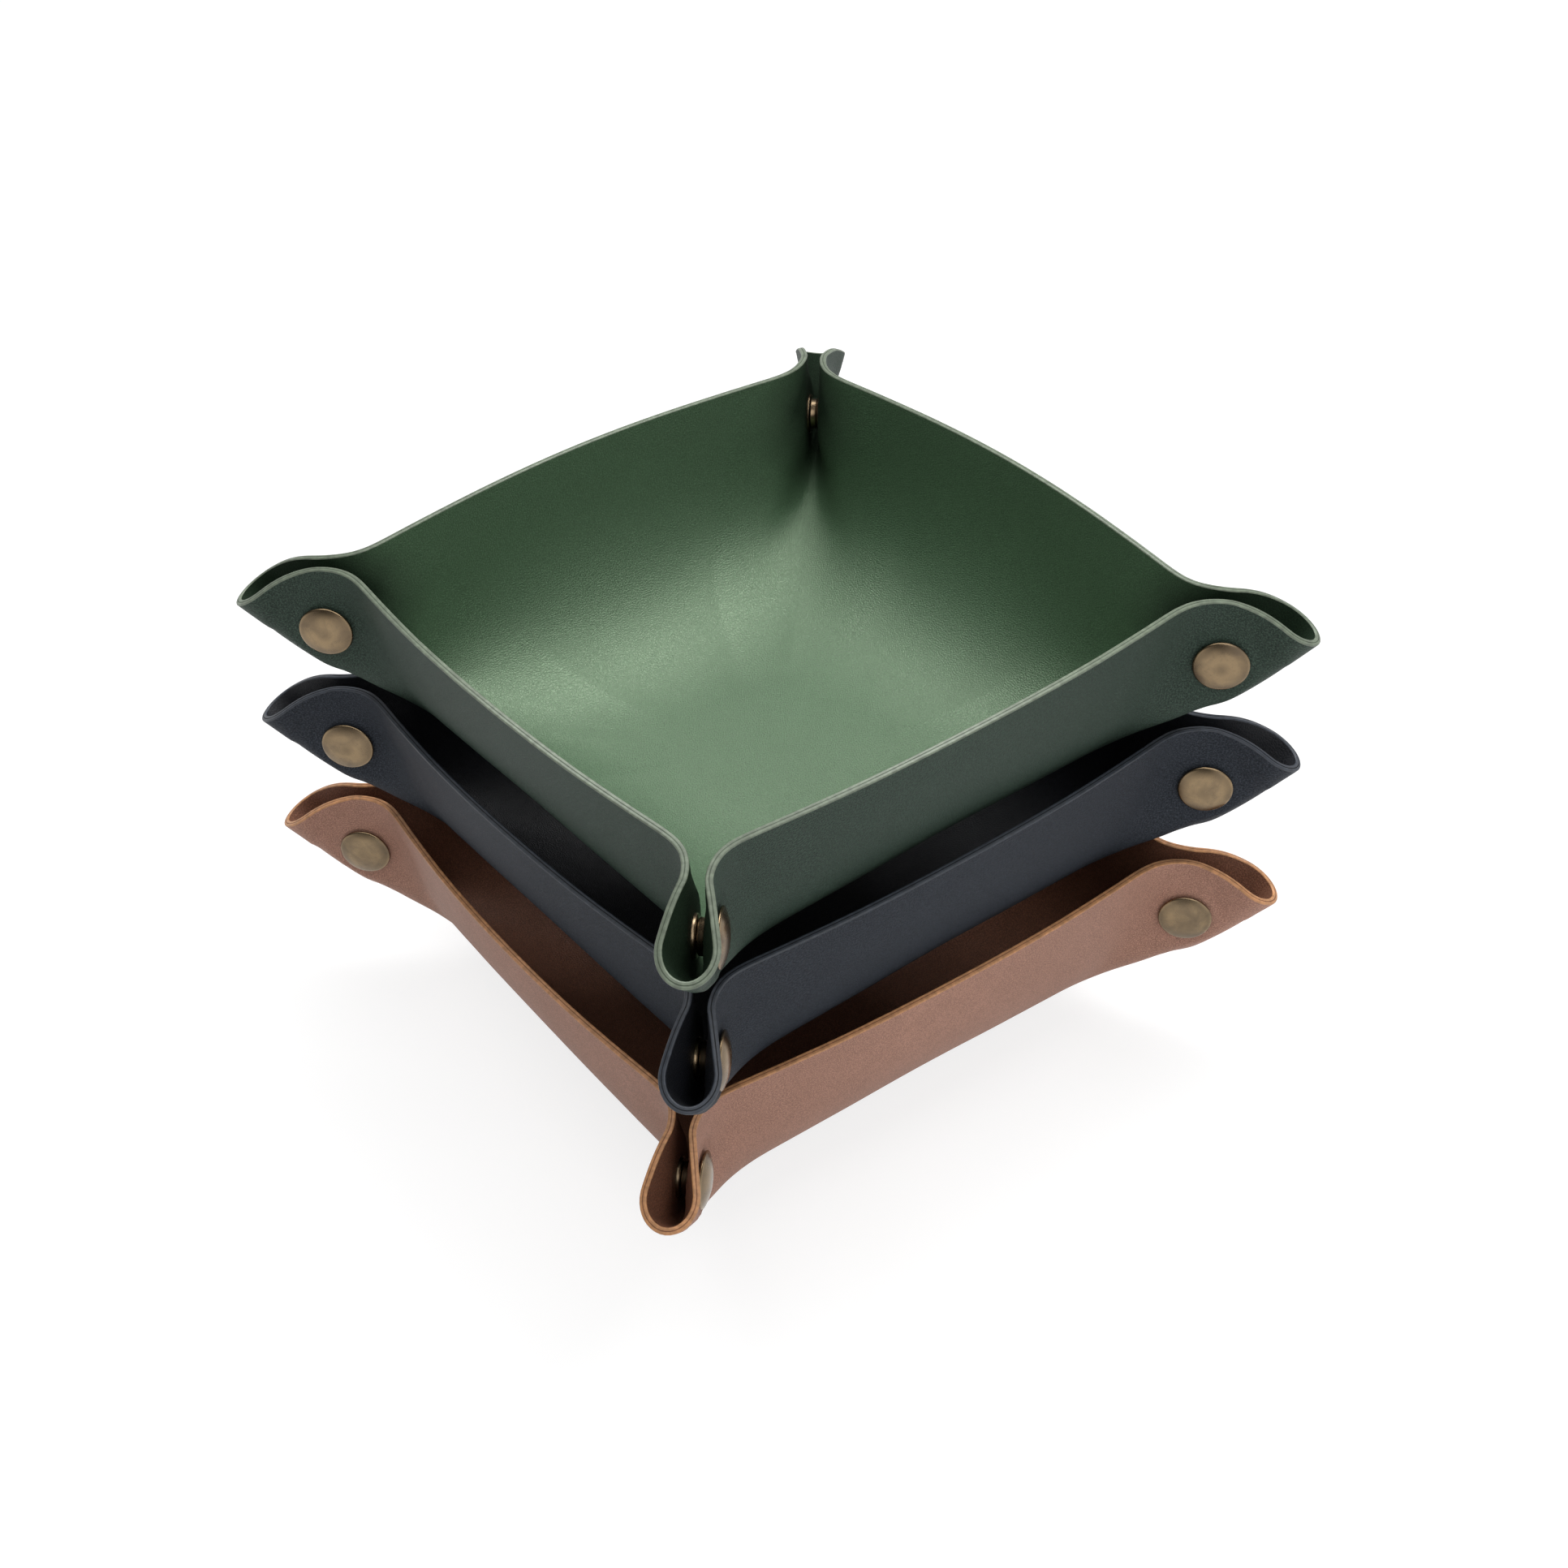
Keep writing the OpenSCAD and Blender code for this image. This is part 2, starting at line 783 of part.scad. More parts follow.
module tan_front_snap_post() {
    color(brass)
        tray_place(0, 0, [0, 0])
            snap_place(3, 1)
                snap_post();
}

green_leather_sheet();
green_right_snap_cap();
green_right_snap_socket();
green_right_snap_stud();
green_right_snap_post();
green_back_snap_cap();
green_back_snap_socket();
green_back_snap_stud();
green_back_snap_post();
green_left_snap_cap();
green_left_snap_socket();
green_left_snap_stud();
green_left_snap_post();
green_front_snap_cap();
green_front_snap_socket();
green_front_snap_stud();
green_front_snap_post();
black_leather_sheet();
black_right_snap_cap();
black_right_snap_socket();
black_right_snap_stud();
black_right_snap_post();
black_back_snap_cap();
black_back_snap_socket();
black_back_snap_stud();
black_back_snap_post();
black_left_snap_cap();
black_left_snap_socket();
black_left_snap_stud();
black_left_snap_post();
black_front_snap_cap();
black_front_snap_socket();
black_front_snap_stud();
black_front_snap_post();
tan_leather_sheet();
tan_right_snap_cap();
tan_right_snap_socket();
tan_right_snap_stud();
tan_right_snap_post();
tan_back_snap_cap();
tan_back_snap_socket();
tan_back_snap_stud();
tan_back_snap_post();
tan_left_snap_cap();
tan_left_snap_socket();
tan_left_snap_stud();
tan_left_snap_post();
tan_front_snap_cap();
tan_front_snap_socket();
tan_front_snap_stud();
tan_front_snap_post();
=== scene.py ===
"""Three leather desk trays in a stack: each is a square sheet that four snap fasteners pinch into a tray."""
import math

import bpy
import numpy as np
from mathutils import Matrix, Vector


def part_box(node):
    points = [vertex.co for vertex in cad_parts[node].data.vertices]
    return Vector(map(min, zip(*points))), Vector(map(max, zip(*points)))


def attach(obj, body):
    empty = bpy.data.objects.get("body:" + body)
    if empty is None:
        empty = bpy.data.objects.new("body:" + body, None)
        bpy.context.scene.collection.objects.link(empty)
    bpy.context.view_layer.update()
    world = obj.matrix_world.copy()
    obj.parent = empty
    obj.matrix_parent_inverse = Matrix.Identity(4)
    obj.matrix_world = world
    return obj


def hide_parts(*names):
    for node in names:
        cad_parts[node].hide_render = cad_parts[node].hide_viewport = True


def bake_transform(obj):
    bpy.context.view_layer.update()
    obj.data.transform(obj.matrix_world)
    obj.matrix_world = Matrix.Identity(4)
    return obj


bl_info = {
    "name": "Snap Corner Leather Trays",
    "version": (1, 0, 0),
    "blender": (4, 5, 0),
    "location": "View3D > Sidebar > Trays",
    "description": "Dresses a stack of three leather desk trays with snap corners",
    "category": "Object",
}

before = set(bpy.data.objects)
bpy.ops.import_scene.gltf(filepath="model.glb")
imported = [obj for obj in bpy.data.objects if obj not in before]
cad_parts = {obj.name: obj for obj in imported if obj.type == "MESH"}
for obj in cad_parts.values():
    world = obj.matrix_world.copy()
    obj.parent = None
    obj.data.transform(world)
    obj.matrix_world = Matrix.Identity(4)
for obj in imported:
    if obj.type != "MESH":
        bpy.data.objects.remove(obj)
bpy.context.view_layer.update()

MM = 0.001
TRAYS = ("tan", "black", "green")
CORNERS = ("right", "back", "left", "front")
# the cap's strap, counterclockwise: 0 on the wall before the corner, 1 on the one after it
CAP_SIDES = {"right": 0, "back": 1, "left": 1, "front": 1}


def node_middle(name):
    low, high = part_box(name)
    return (low + high) / 2


def tray_matrix(tray, thickness):
    """Where the middle of a tray's leather lies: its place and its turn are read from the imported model."""
    across = node_middle(f"{tray}_right_snap_stud") - node_middle(f"{tray}_left_snap_stud")
    turn = math.atan2(across.y, across.x) - math.pi / 4
    sheet = f"{tray}_leather_sheet"
    low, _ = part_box(sheet)
    middle = node_middle(sheet)
    return Matrix.Translation((middle.x, middle.y, low.z + thickness / 2)) @ Matrix.Rotation(turn, 4, "Z")


# ---------- what a user may change ----------

def number(scale=1, **options):
    """A maker of number properties of one kind."""
    def make(name, description, default):
        return bpy.props.FloatProperty(name=name, description=description, default=default * scale, **options)
    return make


length = number(MM, min=0, unit="LENGTH", precision=5)
angle = number(math.pi / 180, unit="ROTATION")
share = number(min=0, max=1, subtype="FACTOR")
power = number(min=0, unit="POWER")
focal = number(unit="CAMERA")


def colour(name, description, default):
    return bpy.props.FloatVectorProperty(name=name, description=description, default=default, min=0, max=1,
                                         size=3, subtype="COLOR")


class TraySheetSizes(bpy.types.PropertyGroup):
    """Sizes of one leather sheet and of the bends that its snaps give it"""
    side: length("Sheet side", "Side of the flat square", 203)
    thickness: length("Leather thickness", "Thickness of the two layers together", 1.6)
    corner: length("Corner radius", "Rounding of the flat square's corners", 30.5)
    floor: share("Floor share", "Part of the half side that lies flat", 0.21)
    wall_angle: angle("Wall angle", "Steepest slope of a wall", 80)
    wall_power: share("Wall power", "How early a wall starts to rise", 0.85)
    snap_near: length("Snap to near edge", "From a snap to the edge of its own side", 15)
    snap_far: length("Snap to far edge", "From a snap to the edge round the corner", 30.8)
    strap_space: length("Strap space", "Space between the two straps of a pinch", 3.04)
    loop: length("Loop radius", "Radius of the open tip of a pinch", 5.6)
    turn: length("Turn radius", "Radius at which a wall turns into its strap", 6)
    flare: length("Flare radius", "Radius at which the straps part toward the tip", 12)
    flare_angle: angle("Flare angle", "Angle by which a strap leans out at the tip", 14)
    bow: angle("Bow angle", "Lean of a wall's end against its middle", 8.5)
    fold_low: angle("Low fold angle", "Slope of the corner fold below the snap", 20)
    fold_high: angle("High fold angle", "Slope of the corner fold toward the tip", 45.5)
    rim_sag: length("Rim sag", "Drop of the rim on its way to the corner", 1.2)
    fold_ease: length("Fold ease", "Extra run over which a row rises to its fold", 2)
    edge_round: length("Edge rounding", "Rounding of the cut and burnished edge", 0.35)
    line_depth: length("Layer line depth", "Depth of the line between the two layers", 0.1)


class TraySnapSizes(bpy.types.PropertyGroup):
    """Sizes of the snap fasteners"""
    cap: length("Cap diameter", "Diameter of the domed cap", 12.5)
    cap_height: length("Cap height", "Height of the cap over the leather", 2.3)
    cap_side: length("Cap side", "Height of the cap's rolled side", 0.5)
    cap_lift: length("Cap lift", "Space between the cap's rim and the leather", 0.4)
    rivet: length("Rivet diameter", "Diameter of the shanks in the leather", 2.6)
    socket: length("Socket diameter", "Diameter of the socket's flange", 9.8)
    socket_body: length("Socket body", "Diameter of the socket's raised body", 7.6)
    socket_height: length("Socket height", "Height of the socket over the leather", 2.1)
    stud: length("Stud diameter", "Diameter of the stud's flange", 9)
    bulb: length("Bulb diameter", "Diameter of the stud's bulb", 4.1)
    post: length("Post diameter", "Diameter of the flange behind the stud", 9.5)


LEATHER_LOOK = {
    "outside": (colour, "Outside", "Colour of the skin outside"),
    "inside": (colour, "Inside", "Colour of the lining"),
    "edge": (colour, "Edge", "Colour of the burnished edge"),
    "line": (colour, "Layer line", "Colour of the line between the layers"),
    "roughness": (share, "Outside roughness", "Roughness of the skin outside"),
    "grain": (share, "Grain", "How strongly the grain of the skin outside shows"),
    "inner_roughness": (share, "Inside roughness", "Roughness of the lining"),
    "gloss": (share, "Outside gloss", "Strength of the shine on the skin outside"),
    "inner_gloss": (share, "Inside gloss", "Strength of the shine on the lining"),
    "edge_gloss": (share, "Edge gloss", "Strength of the shine on the burnished edge"),
    "shine": (colour, "Lining shine", "Tint of the shine on the lining"),
}


def leather_look(**defaults):
    """The properties of one leather, each with the default given here."""
    return {key: kind(name, text, defaults[key]) for key, (kind, name, text) in LEATHER_LOOK.items()}


class GreenLeatherLook(bpy.types.PropertyGroup):
    """Look of the green tray's leather"""
    __annotations__ = leather_look(
        outside=(0.036, 0.056, 0.043), inside=(0.040, 0.077, 0.042), edge=(0.155, 0.19, 0.135),
        line=(0.09, 0.115, 0.08), roughness=0.5, grain=0.62, inner_roughness=0.4,
        gloss=0.12, inner_gloss=0.95, edge_gloss=0.6, shine=(0.78, 1.0, 0.70))


class BlackLeatherLook(bpy.types.PropertyGroup):
    """Look of the black tray's leather"""
    __annotations__ = leather_look(
        outside=(0.034, 0.039, 0.048), inside=(0.005, 0.006, 0.009), edge=(0.035, 0.042, 0.055),
        line=(0.006, 0.007, 0.009), roughness=0.5, grain=0.6, inner_roughness=0.5,
        gloss=0.05, inner_gloss=0.5, edge_gloss=0.5, shine=(1, 1, 1))


class TanLeatherLook(bpy.types.PropertyGroup):
    """Look of the tan tray's leather"""
    __annotations__ = leather_look(
        outside=(0.38, 0.21, 0.155), inside=(0.17, 0.075, 0.045), edge=(0.55, 0.27, 0.12),
        line=(0.28, 0.13, 0.07), roughness=0.55, grain=0.28, inner_roughness=0.5,
        gloss=0.12, inner_gloss=0.25, edge_gloss=0.5, shine=(1, 1, 1))


class TrayBrassLook(bpy.types.PropertyGroup):
    """Colours of the antique brass"""
    bright: colour("Worn brass", "Colour where the patina is rubbed off", (0.27, 0.195, 0.115))
    dark: colour("Patina", "Colour where the patina is thick", (0.12, 0.09, 0.06))


class TrayStageLook(bpy.types.PropertyGroup):
    """Camera, lamps and floor"""
    floor: colour("Floor", "Colour of the floor", (0.8, 0.8, 0.8))
    long_lamp: power("Long lamp", "Power of the long softbox above the two back walls", 7.2)
    back_lamp: power("Back lamp", "Power of the softbox above the back corner", 6.4)
    top_lamp: power("Top lamp", "Power of the softbox above the left front wall", 3)
    front_lamp: power("Front lamp", "Power of the softbox before the right front wall", 2.7)
    side_lamp: power("Side lamp", "Power of the low softbox on the camera's right", 1)
    world: share("World light", "Strength of the even light from all sides", 0.16)
    ceiling: share("Ceiling", "How pale the ceiling shows in shiny surfaces", 0.48)
    room: share("Room", "How pale the room under the ceiling shows in shiny surfaces", 0.04)
    lens: focal("Lens", "Focal length for a 36 mm wide sensor", 57.466)
    azimuth: angle("Azimuth", "Direction of the camera round the stack", 56.14)
    elevation: angle("Elevation", "Height of the camera as an angle", 38.11)
    roll: angle("Roll", "Turn of the camera about its view", -2.65)
    distance: length("Distance", "From the camera to its target", 691.29)
    target: bpy.props.FloatVectorProperty(name="Target", description="Point that the camera looks at", size=3,
                                          subtype="XYZ", unit="LENGTH", default=(-0.06437, 0.04920, -0.00342))


GROUPS = {
    "tray_sheet": TraySheetSizes, "tray_snap": TraySnapSizes, "tray_brass": TrayBrassLook,
    "tray_stage": TrayStageLook, "tray_green": GreenLeatherLook, "tray_black": BlackLeatherLook,
    "tray_tan": TanLeatherLook,
}


# ---------- form of the pinched sheet ----------

HALF_ROOT = math.sqrt(0.5)
ACROSS, ALONG = 0, 1  # the axes of the points, against the rows
ROW_STEPS = 800
RUN_STEPS = (60, 60, 90, 70)  # along wall, turn, strap and curl
COLUMNS = 72  # from the middle of a wall to the fold
CUT = 0.46  # where the middle piece ends and the corners begin
# where the parts of a bend start and end, as shares of the half side
PINCH, FOLD, BOW, SAG = (0.55, 0.85), (0.562, 0.88), (0.6, 0.9), (0.4, 0.7)
CURL_LOW, LOOP_LOW, CURL_SHARE, SAG_REACH = 0.3, 0.78, 0.35, 0.75
FOLD_POWER, ROUNDING_POWER, TIP_POWER = 0.7, 4, 6
STRAP_ANGLES = (2, 45)  # degrees, low down and at the pinch
SEAT_REACH, SEAT_FADE = 0.4, 0.9  # of the disc that a snap presses flat, in turn radii
LEAST_BOW, LEAST_FLARE = math.radians(0.01), 1e-4


def smooth(u):
    u = np.clip(u, 0, 1)
    return u * u * (3 - 2 * u)


def ramp(w, low, high):
    return smooth((w - low) / (high - low))


def units(v):
    return v / np.linalg.norm(v, axis=-1, keepdims=True)


class PinchedSheet:
    """The middle of one bent sheet, as rows round the tray.

    A row's share is 0 in the middle of the floor and 1 at the rim.
    """

    def __init__(self, sizes, snap):
        self.sizes = sizes
        self.half = sizes.side / 2
        self.gap = (sizes.strap_space + sizes.thickness) / 2
        self.shares = np.linspace(0, 1, ROW_STEPS + 1)
        w = (np.arange(ROW_STEPS) + 0.5) / ROW_STEPS
        rise = np.clip((w - sizes.floor) / (1 - sizes.floor), 0, 1)
        fold_rise = np.clip((w - sizes.floor) / (FOLD[0] - sizes.floor), 0, 1)
        wall = sizes.wall_angle * (1 - np.cos(np.pi * rise ** sizes.wall_power)) / 2
        fold = sizes.fold_low * fold_rise ** FOLD_POWER + (sizes.fold_high - sizes.fold_low) * ramp(w, *FOLD)
        self.wall = self.line(wall, self.half / ROW_STEPS)
        self.fold = self.line(fold, self.half / ROW_STEPS * math.sqrt(2))
        snap_share = 1 - (sizes.snap_near + sizes.snap_far) / sizes.side
        lift = (sizes.snap_far - sizes.snap_near) * HALF_ROOT - (math.pi / 2 - 1) * self.gap
        lean = np.interp(snap_share, w, fold)
        self.snap_d = float(np.interp(snap_share, self.shares, self.fold[:, 0]) - np.sin(lean) * lift)
        self.snap_z = float(np.interp(snap_share, self.shares, self.fold[:, 1]) + np.cos(lean) * lift)
        self.seat = snap.cap / 2 + sizes.turn * SEAT_REACH
        self.seat_fade = sizes.turn * SEAT_FADE

    @staticmethod
    def line(slope, step):
        """Points out and up along a bend, from its slope at each step."""
        return np.vstack([np.zeros((1, 2)), np.cumsum(np.stack([np.cos(slope), np.sin(slope)], -1), 0) * step])

    def at(self, line, w):
        return np.interp(w, self.shares, line[:, 0]), np.interp(w, self.shares, line[:, 1])

    def fold_share(self, w):
        """Share of the diagonal at which a row meets it, less what the rounded corner takes."""
        return w + (HALF_ROOT - 1) * self.sizes.corner * w ** ROUNDING_POWER / self.half

    def eighth(self, w):
        """One row from the middle of a wall to the fold of a corner: x, y, z, pressed share and run."""
        s, gap = self.sizes, self.gap
        wall_x, wall_z = self.at(self.wall, w)
        fold_d, fold_z = self.at(self.fold, self.fold_share(w))
        reach = fold_d * HALF_ROOT
        a = math.radians(STRAP_ANGLES[0] + (STRAP_ANGLES[1] - STRAP_ANGLES[0]) * ramp(w, *PINCH))
        b = max(LEAST_BOW, s.bow * ramp(w, *BOW))
        opening = ramp(w, LOOP_LOW, 1)
        flare = s.flare_angle * opening
        flare_r = s.flare * opening
        wide = gap + (s.loop - gap) * opening * w ** TIP_POWER
        small = gap * (CURL_SHARE + (1 - CURL_SHARE) * ramp(w, CURL_LOW, PINCH[1]))
        loop = wide if w > PINCH[1] else small
        need = loop * math.cos(flare) - gap - flare_r * (1 - math.cos(flare))
        out = max(0, need) / math.sin(flare) if flare > LEAST_FLARE else 0
        turned = s.turn * np.array([math.cos(b) - math.cos(a), math.sin(b) + math.sin(a)])
        flared = flare_r * np.array([math.cos(a) - math.cos(a + flare), math.sin(a + flare) - math.sin(a)])
        run_out = out * np.array([math.sin(a + flare), math.cos(a + flare)])
        curled = loop * np.array([HALF_ROOT - math.cos(a + flare), HALF_ROOT + math.sin(a + flare)])
        rest = np.array([reach - wall_x, reach]) - turned - flared - run_out - curled
        bowed = np.array([-(1 - math.cos(b)) / b, math.sin(b) / b])
        strap = np.array([math.sin(a), math.cos(a)])
        wall, neck = np.linalg.solve(np.array([bowed, strap]).T, rest)
        n1, n2, n3, n4 = RUN_STEPS
        # the bowed wall
        t = np.arange(n1) / n1
        rows = [np.stack([wall_x - wall / b * (1 - np.cos(b * t)), wall / b * np.sin(b * t), wall * t], 1)]
        start = np.array([wall_x, 0]) + wall * bowed
        # the turn into the strap
        t = np.arange(n2) / n2
        q = b - (a + b) * t
        turn_end = wall + s.turn * (a + b)
        rows.append(np.stack([start[0] + s.turn * (math.cos(b) - np.cos(q)),
                              start[1] + s.turn * (math.sin(b) - np.sin(q)), wall + (turn_end - wall) * t], 1))
        start = start + turned
        # the strap, its flare, and the straight run past the flare
        flare_run = flare_r * flare
        run = (neck + flare_run + out) * np.arange(n3) / n3
        flat = np.minimum(run, neck)
        q = flare * np.clip((run - neck) / flare_run, 0, 1) if flare_run > 0 else 0 * run
        past = np.maximum(0, run - neck - flare_run)
        x = flat * strap[0] + flare_r * (math.cos(a) - np.cos(a + q)) + past * math.sin(a + flare)
        y = flat * strap[1] + flare_r * (np.sin(a + q) - math.sin(a)) + past * math.cos(a + flare)
        rows.append(np.stack([start[0] + x, start[1] + y, turn_end + run], 1))
        start = start + neck * strap + flared + run_out
        curl_start = turn_end + neck + flare_run + out
        # the curl round to the fold
        t = np.arange(n4 + 1) / n4
        curl = math.pi / 4 + a + flare
        q = -(a + flare) + curl * t
        rows.append(np.stack([start[0] + loop * (np.cos(q) - math.cos(a + flare)),
                              start[1] + loop * (np.sin(q) + math.sin(a + flare)), curl_start + loop * curl * t], 1))
        p = np.vstack(rows)
        # heights, and the strap pressed straight around the snap
        full = p[-1, 2]
        tail = full - (turn_end + curl_start) / 2 + s.fold_ease
        u = 1 - np.minimum(1, (full - p[:, 2]) / tail)
        low = wall_z - s.rim_sag * ramp(w, *SAG) * ramp(p[:, 2] / full, 0, SAG_REACH)
        z = low + (fold_z - low) * smooth(u)
        d = (p[:, 0] + p[:, 1]) * HALF_ROOT
        c = (p[:, 1] - p[:, 0]) * HALF_ROOT
        pressed = 1 - ramp(np.hypot(d - self.snap_d, z - self.snap_z), self.seat, self.seat + self.seat_fade)
        c = np.where(c < -gap, c + (-gap - c) * pressed, c)
        near = np.where(c < -gap / 2, pressed, 0)
        return np.stack([(d - c) * HALF_ROOT, (d + c) * HALF_ROOT, z, near, p[:, 2] / full], 1)

    def flat_eighth(self, w, along):
        """The same row of the flat sheet: a square with rounded corners."""
        r = self.sizes.corner * w ** ROUNDING_POWER
        straight = self.half * w - r
        run = along * (straight + r * math.pi / 4)
        q = np.clip((run - straight) / r, 0, math.pi / 4)
        return np.stack([straight + r * np.cos(q), np.minimum(run, straight) + r * np.sin(q)], 1)

    def row(self, w, along):
        """A whole row: x, y, z, pressed share with its sign, and the flat sheet's x and y."""
        bent = max(w, self.sizes.floor)
        e = self.eighth(bent)
        e = np.stack([np.interp(along, e[:, 4], e[:, i]) for i in range(4)], 1)
        e[:, :3] *= w / bent
        e = np.hstack([e, self.flat_eighth(w, along)])
        other = e[::-1, [1, 0, 2, 3, 5, 4]][1:-1] * [1, 1, 1, -1, 1, 1]
        quarters = [np.vstack([e, other])]
        for _ in range(3):
            turned = quarters[-1].copy()
            turned[:, [0, 1, 4, 5]] = turned[:, [1, 0, 5, 4]] * [-1, 1, -1, 1]
            quarters.append(turned)
        return np.vstack(quarters)


LOW_FLOOR_ROWS = (0.015, 0.05, 0.09, 0.13, 0.17, 0.2)
MIDDLE_ROWS, OUTER_ROWS = 30, 62


def row_shares(sizes):
    """Shares of the rows, closest where the sheet bends most, and the number of the corners' first row."""
    middle = np.linspace(sizes.floor, CUT, MIDDLE_ROWS, endpoint=False)
    outer = np.linspace(CUT, 1 - sizes.edge_round * 2 / sizes.side, OUTER_ROWS)
    return np.concatenate([LOW_FLOOR_ROWS, middle, outer]), len(LOW_FLOOR_ROWS) + MIDDLE_ROWS


# the columns that stand wide apart: their share of all, and of the row's run
WIDE_COLUMNS, WIDE_RUN = 0.3, 0.5


def column_shares():
    """Shares of a row's run from the middle of a wall to the fold, closest near the fold."""
    t = np.arange(COLUMNS + 1) / COLUMNS
    close = WIDE_RUN + (t - WIDE_COLUMNS) / (1 - WIDE_COLUMNS) * (1 - WIDE_RUN)
    return np.where(t < WIDE_COLUMNS, t * WIDE_RUN / WIDE_COLUMNS, close)


def ease(points, mask, times, axis):
    """Moves each point toward the middle of its two neighbours, half the way where the mask is 1."""
    reach = mask[..., None] * 0.5
    for _ in range(times):
        if axis == ALONG:
            middle = (np.roll(points, 1, 1) + np.roll(points, -1, 1)) / 2
            points = points + reach * (middle - points)
        else:
            points[1:-1] += reach[1:-1] * ((points[2:] + points[:-2]) / 2 - points[1:-1])
    return points


def soften(points, pressed, w, along, form):
    """Rounds the bends that leather can't hold sharp: the folds' low ends and the turns from wall to strap."""
    to_fold = np.tile(np.concatenate([along, along[-2:0:-1]]), 4)
    held = np.abs(pressed)
    # the low end of the folds, first along the rows and then across them
    rows = ramp(w, 0.19, 0.3) * (1 - ramp(w, 0.5, 0.68))
    points = ease(points, np.outer(rows, ramp(to_fold, 0, 0.8)), 480, ALONG)
    rows = ramp(w, 0.2, 0.3) * (1 - ramp(w, 0.55, 0.7))
    points = ease(points, np.outer(rows, ramp(to_fold, 0.3, 0.8)), 60, ACROSS)
    # each wall's turn into its strap where no snap presses it, and the rim's rise there
    out = np.abs(points[..., :2]).sum(-1) * HALF_ROOT
    free = ramp(w, 0.45, 0.6)[:, None] * (1 - held) * ramp(to_fold, 0.3, 0.5)
    turns = free * (1 - ramp(out, form.snap_d - 5 * MM, form.snap_d + 2 * MM))
    points = ease(points, turns, 44, ALONG)
    rise = ease(points[..., 2:], free * (1 - ramp(to_fold, 0.76, 0.92)), 60, ALONG)
    points = np.concatenate([points[..., :2], rise], -1)
    points = ease(points, free, 4, ACROSS)
    # the border of the disc that a snap presses flat
    ring = ramp(held, 0, 0.15) * (1 - ramp(held, 0.9, 1))
    for axis in (ALONG, ACROSS, ALONG, ACROSS):
        points = ease(points, ring, 8, axis)
    return points


def facing(points):
    """Directions out of the tray, square to the surface through each point's four neighbours."""
    along = np.roll(points, -1, 1) - np.roll(points, 1, 1)
    up = np.empty_like(points)
    up[1:-1] = points[2:] - points[:-2]
    up[0], up[-1] = points[1] - points[0], points[-1] - points[-2]
    return units(np.cross(along, up))


def outward(points, pressed, on_floor):
    """The same, but straight down on the flat floor and on the snap's own axis where a strap is pressed flat."""
    n = facing(points)
    n[on_floor] = (0, 0, -1)
    corner = np.arange(points.shape[1]) // (2 * COLUMNS)
    a = corner * math.pi / 2 - math.pi / 4
    held = ramp(np.abs(pressed), 0.9, 1)[..., None]
    pull = np.stack([np.cos(a), np.sin(a), 0 * a], -1)[None] * np.sign(pressed)[..., None]
    return units(n * (1 - held) + pull * held)


# half of the cut edge: angles on its rounding, then half widths of the line between the layers
EDGE_ANGLES = (22, 45, 68, 90)
LINE_TOP, LINE_BOTTOM = 0.11 * MM, 0.05 * MM


def edge_profile(sizes):
    """Points across the cut edge from the skin to the lining: height over the middle, and reach past the last row."""
    half, r, depth = sizes.thickness / 2, sizes.edge_round, sizes.line_depth
    q = np.radians(EDGE_ANGLES)
    rise = np.stack([half - r * (1 - np.cos(q)), r * np.sin(q)], 1)
    first = np.vstack([rise, [[LINE_TOP, r], [LINE_BOTTOM, r - depth]]])
    return np.vstack([first, first[::-1] * [-1, 1]])


class SheetShape:
    """All points of one sheet with its thickness: skin rows, edge points and lining rows."""

    def __init__(self, sizes, snap):
        self.side = sizes.side
        form = PinchedSheet(sizes, snap)
        self.w, self.cut = row_shares(sizes)
        along = column_shares()
        rows = np.stack([form.row(w, along) for w in self.w])
        middle, pressed, self.flat = rows[..., :3], rows[..., 3], rows[..., 4:]
        middle = soften(middle, pressed, self.w, along, form)
        n = outward(middle, pressed, self.w < sizes.floor)
        half = sizes.thickness / 2
        self.skin, self.lining = middle + n * half, middle - n * half
        self.skin_n, self.lining_n = facing(self.skin), -facing(self.lining)
        up = middle[-1] - middle[-2]
        up = units(up - (up * n[-1]).sum(-1, keepdims=True) * n[-1])
        self.edge = np.stack([middle[-1] + n[-1] * t + up * e for t, e in edge_profile(sizes)])
        tilt = [*EDGE_ANGLES, 90, 90]
        tilt = np.radians(tilt + [180 - v for v in tilt[::-1]])
        self.edge_n = np.stack([np.cos(v) * n[-1] + np.sin(v) * up for v in tilt])


OUTSIDE, INSIDE, EDGE, LINE = range(4)
RIM_KINDS = [EDGE] * 5 + [LINE] * 3 + [EDGE] * 5


